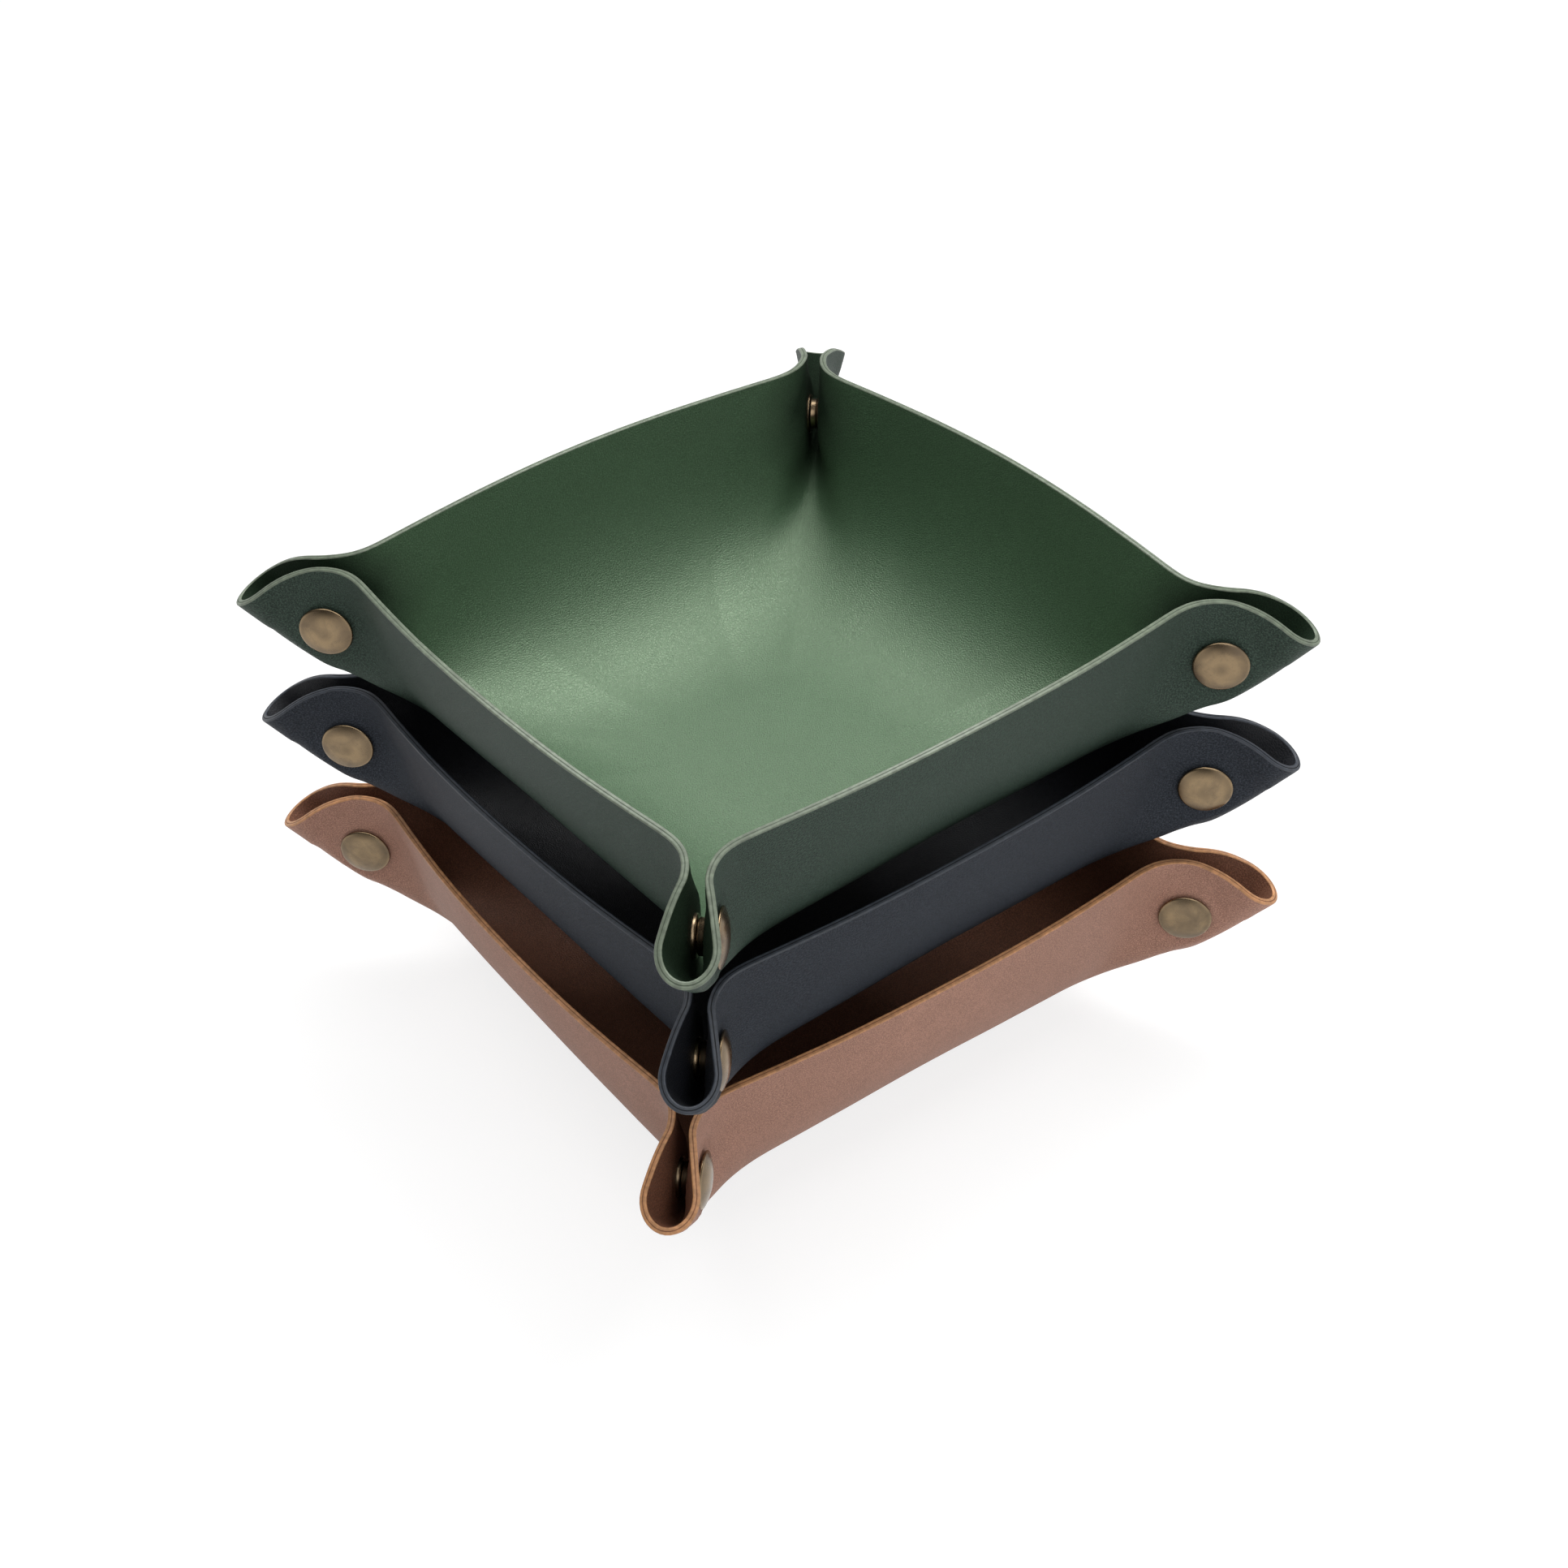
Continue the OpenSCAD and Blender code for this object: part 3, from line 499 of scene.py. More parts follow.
def sheet_mesh(name, shape, rows, columns):
    """A closed mesh of the rows from first to last, and of columns from first to last or all round."""
    first, last = rows
    tall = last - first
    full = columns is None
    at_rim = last == len(shape.w) - 1
    chosen = np.arange(8 * COLUMNS) if full else np.arange(columns[0], columns[1] + 1) % (8 * COLUMNS)
    up, down = slice(first, last + 1), slice(last, first - 1 if first else None, -1)
    layers = [(shape.skin[up], shape.skin_n[up], shape.flat[up])]
    if at_rim:
        layers.append((shape.edge, shape.edge_n, np.repeat(shape.flat[-1:], len(shape.edge), 0)))
    layers.append((shape.lining[down], shape.lining_n[down], shape.flat[down]))
    p, n, uv = (np.concatenate([layer[i] for layer in layers])[:, chosen] for i in range(3))
    count, wide = p.shape[:2]
    index = np.arange(count * wide).reshape(count, wide)
    left, right = (index, np.roll(index, -1, 1)) if full else (index[:, :-1], index[:, 1:])
    faces = np.stack([left[:-1], right[:-1], right[1:], left[1:]], -1).reshape(-1, 4).tolist()
    row_kinds = np.array([OUTSIDE] * tall + (RIM_KINDS if at_rim else [EDGE]) + [INSIDE] * tall)
    kinds = np.repeat(row_kinds, left.shape[1]).tolist()
    # strips across the thickness are shaded flat
    hidden = np.repeat((np.arange(count - 1) == tall) & (not at_rim), left.shape[1]).tolist()
    points, normals, uvs = p.reshape(-1, 3), n.reshape(-1, 3), uv.reshape(-1, 2)
    if full:
        # a fan round a pole in the middle of the floor, outside and inside
        outer, inner = len(points), len(points) + 1
        points = np.vstack([points, [[0, 0, p[0, 0, 2]], [0, 0, p[-1, 0, 2]]]])
        normals = np.vstack([normals, [[0, 0, -1], [0, 0, 1]]])
        uvs = np.vstack([uvs, np.zeros((2, 2))])
        faces += [(outer, b, a) for a, b in zip(left[0], right[0])]
        faces += [(inner, a, b) for a, b in zip(left[-1], right[-1])]
        kinds += [OUTSIDE] * wide + [INSIDE] * wide
        hidden += [False] * (2 * wide)
    else:
        # across the thickness: the low seam, and the two side seams
        i, start = index.tolist(), len(faces)
        faces += [(i[-1][k], i[-1][k + 1], i[0][k + 1], i[0][k]) for k in range(wide - 1)]
        for k in range(tall):
            faces.append((i[k][0], i[k + 1][0], i[-2 - k][0], i[-1 - k][0]))
            faces.append((i[-1 - k][-1], i[-2 - k][-1], i[k + 1][-1], i[k][-1]))
        rim = i[tall:count - tall]
        faces += [[row[0] for row in rim], [row[-1] for row in rim[::-1]]]
        kinds += [EDGE] * (len(faces) - start)
        hidden += [True] * (len(faces) - start)
    mesh = bpy.data.meshes.new(name)
    mesh.from_pydata(points.tolist(), [], faces)
    mesh.polygons.foreach_set("material_index", np.array(kinds, np.int32))
    mesh.polygons.foreach_set("use_smooth", np.ones(len(faces), bool))
    corner = [point for face in faces for point in face]
    face_of = np.repeat(np.arange(len(faces)), [len(face) for face in faces])
    side = np.zeros(len(faces) * 3, np.float32)
    mesh.polygons.foreach_get("normal", side)
    per_corner = np.where(np.array(hidden)[face_of, None], side.reshape(-1, 3)[face_of], normals[corner])
    layer = mesh.uv_layers.new(name="flat")
    layer.data.foreach_set("uv", (uvs[corner] / shape.side + 0.5).astype(np.float32).ravel())
    mesh.normals_split_custom_set(per_corner.tolist())
    mesh.update()
    return mesh, uvs


# ---------- materials ----------

def new_tree(name):
    material = bpy.data.materials.new(name)
    material.use_nodes = True
    material.node_tree.nodes.clear()
    return material, material.node_tree


def add(tree, kind, values=None, **options):
    """A node, its inputs set to the given values or linked to the given outputs."""
    made = tree.nodes.new("ShaderNode" + kind)
    for key, value in options.items():
        setattr(made, key, value)
    for key, value in (values or {}).items():
        if isinstance(value, bpy.types.NodeSocket):
            tree.links.new(value, made.inputs[key])
        else:
            made.inputs[key].default_value = value
    return made


def maths(tree, operation, *values):
    return add(tree, "Math", dict(enumerate(values)), operation=operation).outputs[0]


def vectors(tree, operation, *values):
    return add(tree, "VectorMath", dict(enumerate(values)), operation=operation).outputs[0]


def mixed(tree, factor, a, b):
    """A colour between a and b, which are inputs 6 and 7 of the node."""
    return add(tree, "Mix", {0: factor, 6: a, 7: b}, data_type="RGBA").outputs[2]


def curve(tree, value, low, high, to_low=0, to_high=1):
    values = {"Value": value, "From Min": low, "From Max": high, "To Min": to_low, "To Max": to_high}
    return add(tree, "MapRange", values).outputs[0]


def noise(tree, place, scale, detail, roughness=0.5, distortion=0, dimensions="3D"):
    values = {"Vector": place, "Scale": scale, "Detail": detail, "Roughness": roughness, "Distortion": distortion}
    return add(tree, "TexNoise", values, noise_dimensions=dimensions)


def flat_noise(tree, flat, scale, detail, roughness=0.5):
    return noise(tree, flat, scale, detail, roughness, dimensions="2D")


def finish_material(tree, base, roughness, height, strength, distance, **values):
    """The shader with its bump and the material's output."""
    bump = add(tree, "Bump", {"Height": height, "Strength": strength, "Distance": distance}).outputs[0]
    values = {"Base Color": base, "Roughness": roughness, "Normal": bump, **values}
    add(tree, "OutputMaterial", {"Surface": add(tree, "BsdfPrincipled", values).outputs[0]})


def shaded(rgb, factor):
    return (*[min(1, c * factor) for c in rgb], 1)


def fold_shade_mask(tree, flat):
    """1 in the tight folds at the flat sheet's corners, where the lining gets painted shade: darker, with a dimmer
    shine, and rougher.
    """
    across = vectors(tree, "ABSOLUTE", vectors(tree, "SUBTRACT", flat, (0.5, 0.5, 0)))
    x, y = add(tree, "SeparateXYZ", {0: across}).outputs[:2]
    out = maths(tree, "ADD", x, y)
    side = maths(tree, "ABSOLUTE", maths(tree, "SUBTRACT", x, y))
    return maths(tree, "MULTIPLY", curve(tree, out, 0.64, 0.75), curve(tree, side, 0.15, 0.235, 1, 0))


# scales over the flat sheet, and how far its cells are warped
WARP, CELLS, CLOUDS, MARKS, EDGE_SPOTS = 260, 330, 5, 42, 160
WARP_REACH = 0.0035
PORES_FINE, PORES_PER_GRAIN = 700, 340
# depths of the bumps, and scales of the marks per metre
GRAIN_DEPTH, STREAK_DEPTH, SCRATCH_DEPTH = 0.07 * MM, 0.06 * MM, 0.03 * MM
STREAKS, SMUDGES, SCRATCHES, FINE_SPOTS = 700, 190, 900, 1500


def leather_material(name, rgb, roughness, gloss, grain, tint=(1, 1, 1), paint_fold_shade=False):
    """Grained leather, its pores laid out on the flat sheet, with the cloudy tones of dyed hide, and painted shade in
    the corners' folds where asked.
    """
    material, tree = new_tree(name)
    flat = add(tree, "UVMap", uv_map="flat").outputs[0]
    bent = vectors(tree, "SUBTRACT", flat_noise(tree, flat, WARP, 2).outputs["Color"], (0.5, 0.5, 0.5))
    place = vectors(tree, "MULTIPLY_ADD", bent, (WARP_REACH, WARP_REACH, 0), flat)
    cell = {"Vector": place, "Scale": CELLS}
    border = add(tree, "TexVoronoi", cell, voronoi_dimensions="2D", feature="DISTANCE_TO_EDGE").outputs[0]
    tone = add(tree, "TexVoronoi", cell, voronoi_dimensions="2D", feature="F1").outputs["Color"]
    pores = flat_noise(tree, flat, PORES_FINE - PORES_PER_GRAIN * grain, 3, 0.65).outputs[0]
    clouds = flat_noise(tree, flat, CLOUDS, 4, 0.55).outputs[0]
    marks = flat_noise(tree, flat, MARKS, 3).outputs[0]
    base = mixed(tree, curve(tree, clouds, 0.35, 0.65), shaded(rgb, 0.92), shaded(rgb, 1.08))
    base = mixed(tree, curve(tree, marks, 0.4, 0.7), base, mixed(tree, 0.5, base, shaded(rgb, 0.85)))
    speck = add(tree, "SeparateColor", {0: tone}).outputs[0]
    base = mixed(tree, curve(tree, speck, 0, 1, 0, 0.6), base, shaded(rgb, 0.68))
    base = mixed(tree, curve(tree, pores, 0.47, 0.33, 0, 0.9 * grain), base, shaded(rgb, 0.45))
    pale = shaded(rgb, 1.5 + 0.6 * grain)
    base = mixed(tree, curve(tree, pores, 0.48, 0.66, 0, 0.45 + 0.6 * grain), base, pale)
    rough = curve(tree, pores, 0.3, 0.7, roughness - 0.06, roughness + 0.09)
    tint = (*tint, 1)
    # painted shade: in the tight folds of the corners' loops the lining is darkened and its shine dimmed; the folds
    # are also made rougher
    if paint_fold_shade:
        fold_shade = fold_shade_mask(tree, flat)
        base = mixed(tree, curve(tree, fold_shade, 0, 1, 0, 0.8), base, shaded(rgb, 0.1))
        tint = mixed(tree, fold_shade, tint, (0.05, 0.05, 0.05, 1))
        rough = maths(tree, "MULTIPLY_ADD", fold_shade, 0.35, rough)
    pebble = curve(tree, border, 0, 0.28)
    height = maths(tree, "MULTIPLY_ADD", pebble, pores, pebble)
    finish_material(tree, base, rough, height, grain, GRAIN_DEPTH,
                    **{"Specular IOR Level": gloss, "Specular Tint": tint})
    return material


def edge_material(name, rgb, roughness, gloss):
    """Burnished cut edge, on which loose fibres show as fine streaks."""
    material, tree = new_tree(name)
    streaks = noise(tree, add(tree, "TexCoord").outputs["Object"], STREAKS, 3).outputs[0]
    flat = add(tree, "UVMap", uv_map="flat").outputs[0]
    spots = flat_noise(tree, flat, EDGE_SPOTS, 2).outputs[0]
    base = mixed(tree, curve(tree, streaks, 0.35, 0.68), shaded(rgb, 0.72), shaded(rgb, 1.12))
    base = mixed(tree, curve(tree, spots, 0.55, 0.75, 0, 0.6), base, shaded(rgb, 0.6))
    finish_material(tree, base, roughness, streaks, 0.4, STREAK_DEPTH, **{"Specular IOR Level": gloss})
    return material


def brass_material(name, look, wear):
    """Antique brass: dark patina, rubbed bright in places, with fine scratches and smudges, and a darker ring near
    the cap's rim that is partly patina and partly painted shade.
    """
    material, tree = new_tree(name)
    place = add(tree, "TexCoord").outputs["Object"]
    smudge = noise(tree, place, SMUDGES, 4, distortion=0.4).outputs[0]
    out = add(tree, "Attribute", attribute_name="out_share").outputs["Fac"]
    fine = noise(tree, place, FINE_SPOTS, 3).outputs[0]
    waves = {"Vector": place, "Scale": SCRATCHES, "Distortion": 14, "Detail": 3, "Detail Scale": 2}
    scratch = add(tree, "TexWave", waves).outputs["Fac"]
    # the rubbed brass is made lighter or darker per part: the sockets and studs are painted lighter, a painted
    # highlight for the shine on their edges inside the pinches
    base = mixed(tree, curve(tree, smudge, 0.28, 0.6), shaded(look.dark, 1.25), shaded(look.bright, wear))
    # painted shade: a darker ring on the dome's shoulder stands in for the dark band that the dome reflects there,
    # and also serves as patina left near the rim
    ring = maths(tree, "MULTIPLY", curve(tree, out, 0.6, 0.84), curve(tree, out, 0.9, 0.96, 1, 0))
    base = mixed(tree, curve(tree, ring, 0, 1, 0, 0.45), base, shaded(look.dark, 0.9))
    middle = maths(tree, "MULTIPLY", curve(tree, out, 0.08, 0.34, 1, 0), curve(tree, smudge, 0.42, 0.56))
    base = mixed(tree, curve(tree, middle, 0, 1, 0, 0.55), base, shaded(look.dark, 1))
    base = mixed(tree, curve(tree, fine, 0.55, 0.8, 0, 0.4), base, shaded(look.dark, 1.2))
    rough = curve(tree, smudge, 0.3, 0.7, 0.32, 0.2)
    bumps = maths(tree, "MULTIPLY_ADD", scratch, 0.25, fine)
    finish_material(tree, base, rough, bumps, 0.12, SCRATCH_DEPTH, Metallic=1.0)
    return material


# ---------- pieces made with Blender's own tools ----------

ROUND, SMALLEST, MERGE, SMOOTH_UNDER = 96, 1e-6, 2e-6, math.radians(35)


def deselect():
    if bpy.context.object and bpy.context.object.mode != "OBJECT":
        bpy.ops.object.mode_set(mode="OBJECT")
    bpy.ops.object.select_all(action="DESELECT")


def turned_piece(name, outline, closed=False):
    """Extrudes a circle ring by ring along an outline of radius and height; a closed one meets its first ring."""
    deselect()
    radius, height = outline[0]
    bpy.ops.mesh.primitive_circle_add(vertices=ROUND, radius=radius, location=(0, 0, height),
                                      fill_type="NOTHING" if closed else "NGON")
    piece = bpy.context.object
    piece.name = name
    bpy.ops.object.transform_apply()
    bpy.ops.object.mode_set(mode="EDIT")
    bpy.ops.mesh.select_all(action="SELECT")
    bpy.ops.mesh.select_mode(type="EDGE")
    for next_radius, next_height in outline[1:]:
        next_radius = max(next_radius, SMALLEST)
        bpy.ops.mesh.extrude_edges_move(TRANSFORM_OT_translate={"value": (0, 0, next_height - height)})
        size = next_radius / radius
        bpy.ops.transform.resize(value=(size, size, 1), center_override=(0, 0, 0))
        radius, height = next_radius, next_height
    if not closed:
        bpy.ops.mesh.merge(type="CENTER")
    bpy.ops.mesh.select_all(action="SELECT")
    bpy.ops.mesh.remove_doubles(threshold=MERGE)
    bpy.ops.mesh.normals_make_consistent()
    bpy.ops.object.mode_set(mode="OBJECT")
    bpy.ops.object.shade_smooth_by_angle(angle=SMOOTH_UNDER)
    return piece


def snap_matrix(tray, corner, form, sizes):
    """A snap's own place: its origin halfway between the straps, its z axis toward the cap."""
    k, side = CORNERS.index(corner), CAP_SIDES[corner]
    at = form.snap_d * HALF_ROOT
    return (tray_matrix(tray, sizes.thickness) @ Matrix.Rotation(k * math.pi / 2, 4, "Z")
            @ Matrix.Translation((at, at, form.snap_z))
            @ Matrix.Rotation(math.radians(45 + 180 * side), 4, "Z") @ Matrix.Rotation(math.pi / 2, 4, "X"))


def place_copies(piece, part, on_cap, wear):
    """Copies a snap part to the twelve snaps and gives each copy its body."""
    scene = bpy.context.scene
    form = PinchedSheet(scene.tray_sheet, scene.tray_snap)
    material = brass_material(f"{part}_brass", scene.tray_brass, wear)
    for tray in TRAYS:
        for corner in CORNERS:
            copy = piece.copy()
            copy.data = piece.data.copy()
            copy.name = copy.data.name = f"{tray}_{corner}_{part}"
            copy.data.transform(snap_matrix(tray, corner, form, scene.tray_sheet))
            scene.collection.objects.link(copy)
            copy.data.materials.clear()
            copy.data.materials.append(material)
            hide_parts(f"{tray}_{corner}_snap_{part}")
            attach(copy, f"{tray}_{corner}_snap_top" if on_cap else f"{tray}_tray")
    bpy.data.objects.remove(piece, do_unlink=True)


# space between metal and leather, in a closed snap, and round a rivet
CLEARANCE, PLAY, HOLE_PLAY = 0.02 * MM, 0.15 * MM, 0.05 * MM
# thicknesses and heights, then the rolled head's diameter, and the radii of boss and bore
WEB, HEAD, WALL, STUD_BASE, POST_THICK = 0.55 * MM, 0.35 * MM, 0.6 * MM, 0.75 * MM, 0.9 * MM
RIVET_HEAD, BOSS, BORE = 3.6 * MM, 4 * MM, 2.25 * MM
# the cap's rolled side and its dome: shares of its radius, with heights in heights of the side
SHOULDER, SHOULDER_RISE, DOME_POWER = 0.93, 0.44, 2.25
CAP_SIDE = ((1, 0.75), (0.995, 0.9), (0.983, 1.08), (0.962, 1.26), (SHOULDER, 1 + SHOULDER_RISE))
DOME_RINGS = (0.87, 0.8, 0.72, 0.64, 0.55, 0.46, 0.37, 0.28, 0.19, 0.1, 0.03)
POST_FLANGE = ((1, 0.0), (1, 0.3), (0.975, 0.52), (0.93, 0.7), (0.86, 0.84), (0.74, 0.95), (0.6, 1), (0.46, 1),
               (0.43, 0.93), (0.4, 0.93), (0.37, 1), (0.2, 1))


def snap_sizes(scene):
    """The snaps' sizes, and the heights at which metal meets a strap's inner and outer face."""
    sizes = scene.tray_sheet
    inner, outer = sizes.strap_space / 2 - CLEARANCE, sizes.strap_space / 2 + sizes.thickness + CLEARANCE
    return scene.tray_snap, inner, outer


class TRAYS_OT_snap_caps(bpy.types.Operator):
    """Make the twelve domed caps with their shanks and rolled heads"""
    bl_idname = "trays.snap_caps"
    bl_label = "Snap Caps"

    def execute(self, context):
        snap, inner, outer = snap_sizes(context.scene)
        r, rim = snap.cap / 2, outer + snap.cap_lift
        dome = snap.cap_height - snap.cap_lift - snap.cap_side
        top = rim + snap.cap_side
        start = SHOULDER_RISE * snap.cap_side / dome
        crown = [(a, start + (1 - start) * (1 - (a / SHOULDER) ** DOME_POWER)) for a in DOME_RINGS]
        outline = [(RIVET_HEAD / 2, inner - WEB - HEAD), (RIVET_HEAD / 2, inner - WEB), (snap.rivet / 2, inner - WEB),
                   (snap.rivet / 2, outer), (BOSS, outer), (BOSS, rim), (r - 0.3 * MM, rim),
                   (r - 0.08 * MM, rim + 0.1 * MM), (r, rim + 0.3 * MM)]
        outline += [(r * a, rim + snap.cap_side * b) for a, b in CAP_SIDE]
        outline += [(r * a, top + dome * b) for a, b in crown] + [(0, top + dome)]
        piece = turned_piece("cap", outline)
        points = np.array([v.co for v in piece.data.vertices])
        out = np.where(points[:, 2] > rim, np.hypot(points[:, 0], points[:, 1]) / r, 1).astype(np.float32)
        piece.data.attributes.new("out_share", "FLOAT", "POINT").data.foreach_set("value", out)
        place_copies(piece, "cap", on_cap=True, wear=1.0)
        return {"FINISHED"}


class TRAYS_OT_snap_sockets(bpy.types.Operator):
    """Make the twelve sockets that the caps hold inside their straps"""
    bl_idname = "trays.snap_sockets"
    bl_label = "Snap Sockets"

    def execute(self, context):
        snap, inner, _ = snap_sizes(context.scene)
        web, foot = inner - WEB, inner - snap.socket_height
        hole, body, rim = snap.rivet / 2 + HOLE_PLAY, snap.socket_body / 2, snap.socket / 2
        outline = [(hole, inner), (hole, web), (BORE, web), (BORE, foot + 0.15 * MM), (BORE + 0.15 * MM, foot),
                   (body - 0.35 * MM, foot), (body - 0.1 * MM, foot + 0.1 * MM), (body, foot + 0.35 * MM),
                   (body, web - 0.3 * MM), (body + 0.1 * MM, web - 0.08 * MM), (body + 0.3 * MM, web),
                   (rim - 0.2 * MM, web), (rim, web + 0.2 * MM), (rim, inner), (hole, inner)]
        # painted highlight: the sockets are painted lighter to stand in for the shine on their edges between the
        # straps
        place_copies(turned_piece("socket", outline, closed=True), "socket", on_cap=True, wear=1.3)
        return {"FINISHED"}


class TRAYS_OT_snap_studs(bpy.types.Operator):
    """Make the twelve studs that press into the sockets"""
    bl_idname = "trays.snap_studs"
    bl_label = "Snap Studs"

    def execute(self, context):
        snap, inner, _ = snap_sizes(context.scene)
        base, tip = -inner + STUD_BASE, inner - WEB - HEAD - PLAY
        hole, rim = snap.rivet / 2 + HOLE_PLAY, snap.stud / 2
        bulb, waist = snap.bulb / 2, snap.bulb / 2 - 0.25 * MM
        outline = [(hole, tip - WALL), (hole, -inner), (rim, -inner), (rim, base - 0.3 * MM),
                   (rim - 0.1 * MM, base - 0.08 * MM), (rim - 0.3 * MM, base), (waist + 0.3 * MM, base),
                   (waist + 0.05 * MM, base + 0.1 * MM), (waist, base + 0.3 * MM), (bulb, (base + 2 * tip) / 3),
                   (bulb - 0.08 * MM, tip - 0.12 * MM), (bulb - 0.35 * MM, tip), (0, tip)]
        # painted highlight: the studs are painted lighter too
        place_copies(turned_piece("stud", outline), "stud", on_cap=False, wear=1.2)
        return {"FINISHED"}


class TRAYS_OT_snap_posts(bpy.types.Operator):
    """Make the twelve flanged posts that hold the studs from behind"""
    bl_idname = "trays.snap_posts"
    bl_label = "Snap Posts"

    def execute(self, context):
        snap, inner, outer = snap_sizes(context.scene)
        end = inner - WEB - HEAD - PLAY - WALL - PLAY
        outline = [(snap.rivet / 2, end), (snap.rivet / 2, -outer)]
        outline += [(snap.post / 2 * a, -outer - POST_THICK * b) for a, b in POST_FLANGE] + [(0, -outer - POST_THICK)]
        place_copies(turned_piece("post", outline), "post", on_cap=False, wear=0.9)
        return {"FINISHED"}


LINING_GRAIN, EDGE_ROUGHNESS, LINE_ROUGHNESS, LINE_GLOSS = 0.4, 0.48, 0.8, 0.3


def tray_materials(tray, look):
    """One tray's materials, in the order of OUTSIDE, INSIDE, EDGE and LINE."""
    return [leather_material(f"{tray}_skin", look.outside, look.roughness, look.gloss, look.grain),
            # the green lining gets painted shade in its corner folds
            leather_material(f"{tray}_lining", look.inside, look.inner_roughness, look.inner_gloss, LINING_GRAIN,
                             look.shine, paint_fold_shade=tray == "green"),
            edge_material(f"{tray}_edge", look.edge, EDGE_ROUGHNESS, look.edge_gloss),
            edge_material(f"{tray}_layer_line", look.line, LINE_ROUGHNESS, LINE_GLOSS)]


class TRAYS_OT_leather_sheets(bpy.types.Operator):
    """Bend the three leather sheets: a middle and four corners each"""
    bl_idname = "trays.leather_sheets"
    bl_label = "Leather Sheets"

    def execute(self, context):
        scene = context.scene
        sizes = scene.tray_sheet
        shape = SheetShape(sizes, scene.tray_snap)
        outer = (shape.cut, len(shape.w) - 1)
        for tray in TRAYS:
            materials = tray_materials(tray, getattr(scene, f"tray_{tray}"))
            place = tray_matrix(tray, sizes.thickness)
            middle, _ = self.piece(tray, "middle", shape, (0, shape.cut), None, materials, place)
            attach(middle, f"{tray}_tray")
            for k, corner in enumerate(CORNERS):
                columns = (2 * COLUMNS * k, 2 * COLUMNS * (k + 1))
                piece, uvs = self.piece(tray, corner, shape, outer, columns, materials, place)
                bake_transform(piece)
        return {"FINISHED"}

    @staticmethod
    def piece(tray, part, shape, rows, columns, materials, place):
        name = f"{tray}_leather_{part}"
        mesh, uvs = sheet_mesh(name, shape, rows, columns)
        mesh.transform(place)
        for material in materials:
            mesh.materials.append(material)
        piece = bpy.data.objects.new(name, mesh)
        bpy.context.scene.collection.objects.link(piece)
        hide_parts(f"{tray}_leather_sheet")
        return piece, uvs


# each softbox: its place and, where it is long, its size and the direction of its long side
LAMPS = {
    "long_lamp": ((-0.36, 0.17, 0.90), (1.25, 0.5), (0.86, 0.78, 0.17)),
    "back_lamp": ((0.04, 0.50, 0.95),),
    "top_lamp": ((0.1, -0.35, 1.1),),
    "front_lamp": ((0.87, -0.25, 0.80),),
    "side_lamp": ((1.0, 0, 0.35),),
}
LAMP_AIM = Vector((0, 0, 0.08))
FLOOR_RADIUS, FLOOR_DROP, FLOOR_SIDES = 6, 0.2 * MM, 128
FLOOR_GREY, FLOOR_GLOW = 0.25, 0.8
# upward part of the directions in which the backdrop ends and the ceiling starts
BACKDROP_END, CEILING_START = (-0.02, 0.2), (0.35, 0.6)
SENSOR_WIDTH, CLIP_START, CLIP_END = 36, 0.01, 50


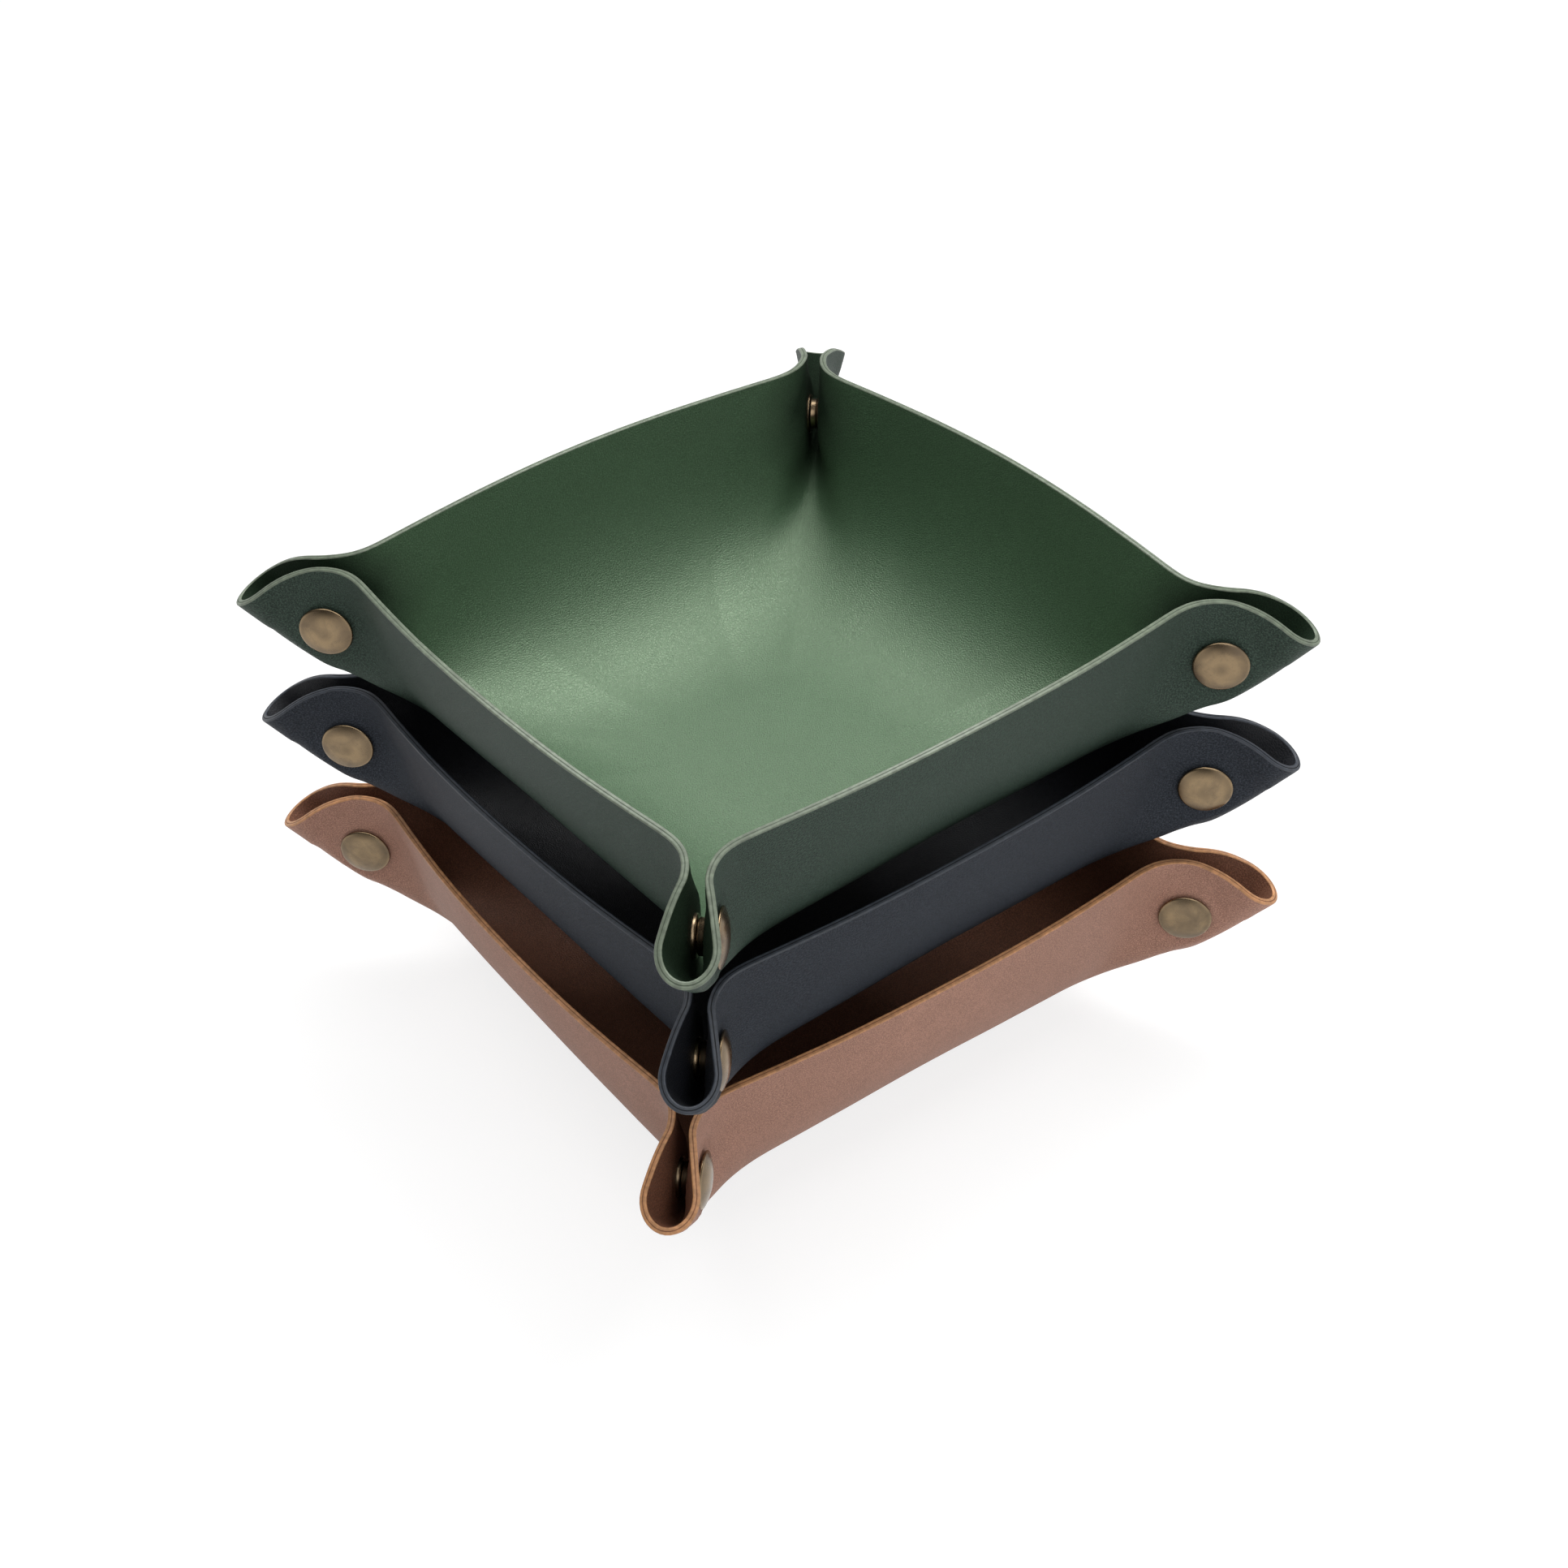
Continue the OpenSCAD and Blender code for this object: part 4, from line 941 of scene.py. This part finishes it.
class TRAYS_OT_stage(bpy.types.Operator):
    """Make the pale floor, the soft lamps, the world light and the camera"""
    bl_idname = "trays.stage"
    bl_label = "Stage"

    def execute(self, context):
        scene, look = context.scene, context.scene.tray_stage
        self.floor(look)
        for name, softbox in LAMPS.items():
            self.lamp(scene, name, getattr(look, name), *softbox)
        self.world(scene, look)
        self.camera(scene, look)
        scene.view_settings.view_transform = "Standard"
        return {"FINISHED"}

    @staticmethod
    def seen(tree):
        """1 where a ray of the camera, of a gloss or through glass meets it."""
        rays = add(tree, "LightPath").outputs
        first = maths(tree, "MAXIMUM", rays["Is Camera Ray"], rays["Is Glossy Ray"])
        return maths(tree, "MAXIMUM", first, rays["Is Transmission Ray"])

    def floor(self, look):
        deselect()
        bpy.ops.mesh.primitive_circle_add(vertices=FLOOR_SIDES, radius=FLOOR_RADIUS, fill_type="NGON",
                                          location=(0, 0, -FLOOR_DROP))
        floor = bpy.context.object
        floor.name = "floor"
        material, tree = new_tree("pale_floor")
        pale = add(tree, "BsdfDiffuse", {"Color": (*look.floor, 1)})
        faint = add(tree, "BsdfDiffuse", {"Color": (FLOOR_GREY, FLOOR_GREY, FLOOR_GREY, 1)})
        glow = add(tree, "Emission", {"Color": (1, 1, 1, 1), "Strength": FLOOR_GLOW})
        both = add(tree, "AddShader", {0: faint.outputs[0], 1: glow.outputs[0]})
        floor_seen = add(tree, "MixShader", {0: self.seen(tree), 1: pale.outputs[0], 2: both.outputs[0]})
        add(tree, "OutputMaterial", {"Surface": floor_seen.outputs[0]})
        floor.data.materials.append(material)

    @staticmethod
    def lamp(scene, name, watts, place, size=(0.8, 0.8), along=(0, 0, 1)):
        """A softbox that faces the stack, its long side in the given direction."""
        data = bpy.data.lights.new(name, "AREA")
        data.shape, data.size, data.size_y, data.energy = "ELLIPSE", *size, watts
        lamp = bpy.data.objects.new(name, data)
        back = (Vector(place) - LAMP_AIM).normalized()
        side = (Vector(along) - back * back.dot(along)).normalized()
        turned = Matrix((side, back.cross(side), back)).transposed().to_4x4()
        lamp.matrix_world = Matrix.Translation(place) @ turned
        scene.collection.objects.link(lamp)

    def world(self, scene, look):
        """Even light, and a room for the shiny surfaces: white backdrop, darker walls and a pale ceiling."""
        world = bpy.data.worlds.new("studio")
        world.use_nodes = True
        tree = world.node_tree
        tree.nodes.clear()
        up = add(tree, "SeparateXYZ", {0: add(tree, "TexCoord").outputs["Generated"]}).outputs[2]
        room = maths(tree, "MAXIMUM", curve(tree, up, *BACKDROP_END, 1, look.room),
                     curve(tree, up, *CEILING_START, 0, look.ceiling))
        shown = maths(tree, "MAXIMUM", add(tree, "LightPath").outputs["Is Camera Ray"], room)
        strength = curve(tree, self.seen(tree), 0, 1, look.world, shown)
        back = add(tree, "Background", {"Color": (1, 1, 1, 1), "Strength": strength})
        add(tree, "OutputWorld", {"Surface": back.outputs[0]})
        scene.world = world

    @staticmethod
    def camera(scene, look):
        data = bpy.data.cameras.new("camera")
        data.lens, data.sensor_width = look.lens, SENSOR_WIDTH
        data.clip_start, data.clip_end = CLIP_START, CLIP_END
        camera = bpy.data.objects.new("camera", data)
        across = Vector((math.cos(look.azimuth), math.sin(look.azimuth), 0))
        level = math.cos(look.elevation)
        back = Vector((across.y * level, -across.x * level, math.sin(look.elevation)))
        turned = Matrix((across, back.cross(across), back)).transposed() @ Matrix.Rotation(look.roll, 3, "Z")
        camera.matrix_world = Matrix.Translation(Vector(look.target) + back * look.distance) @ turned.to_4x4()
        scene.collection.objects.link(camera)
        scene.camera = camera


STEPS = (TRAYS_OT_stage, TRAYS_OT_leather_sheets, TRAYS_OT_snap_caps, TRAYS_OT_snap_sockets, TRAYS_OT_snap_studs,
         TRAYS_OT_snap_posts)


class TRAYS_PT_panel(bpy.types.Panel):
    """Lists the steps that build the stack and the sizes that they read"""
    bl_idname = "TRAYS_PT_panel"
    bl_label = "Leather Trays"
    bl_space_type = "VIEW_3D"
    bl_region_type = "UI"
    bl_category = "Trays"

    def draw(self, context):
        for step in STEPS:
            self.layout.operator(step.bl_idname)
        for name, group in GROUPS.items():
            box = self.layout.box()
            box.label(text=name.replace("_", " ").title())
            for key in group.__annotations__:
                box.prop(getattr(context.scene, name), key)


CLASSES = (*GROUPS.values(), *STEPS, TRAYS_PT_panel)


def register():
    for made in CLASSES:
        bpy.utils.register_class(made)
    for name, group in GROUPS.items():
        setattr(bpy.types.Scene, name, bpy.props.PointerProperty(type=group))


def unregister():
    for name in GROUPS:
        delattr(bpy.types.Scene, name)
    for made in reversed(CLASSES):
        bpy.utils.unregister_class(made)


def main():
    register()
    for step in STEPS:
        getattr(bpy.ops.trays, step.bl_idname.removeprefix("trays."))()


if __name__ == "__main__":
    main()
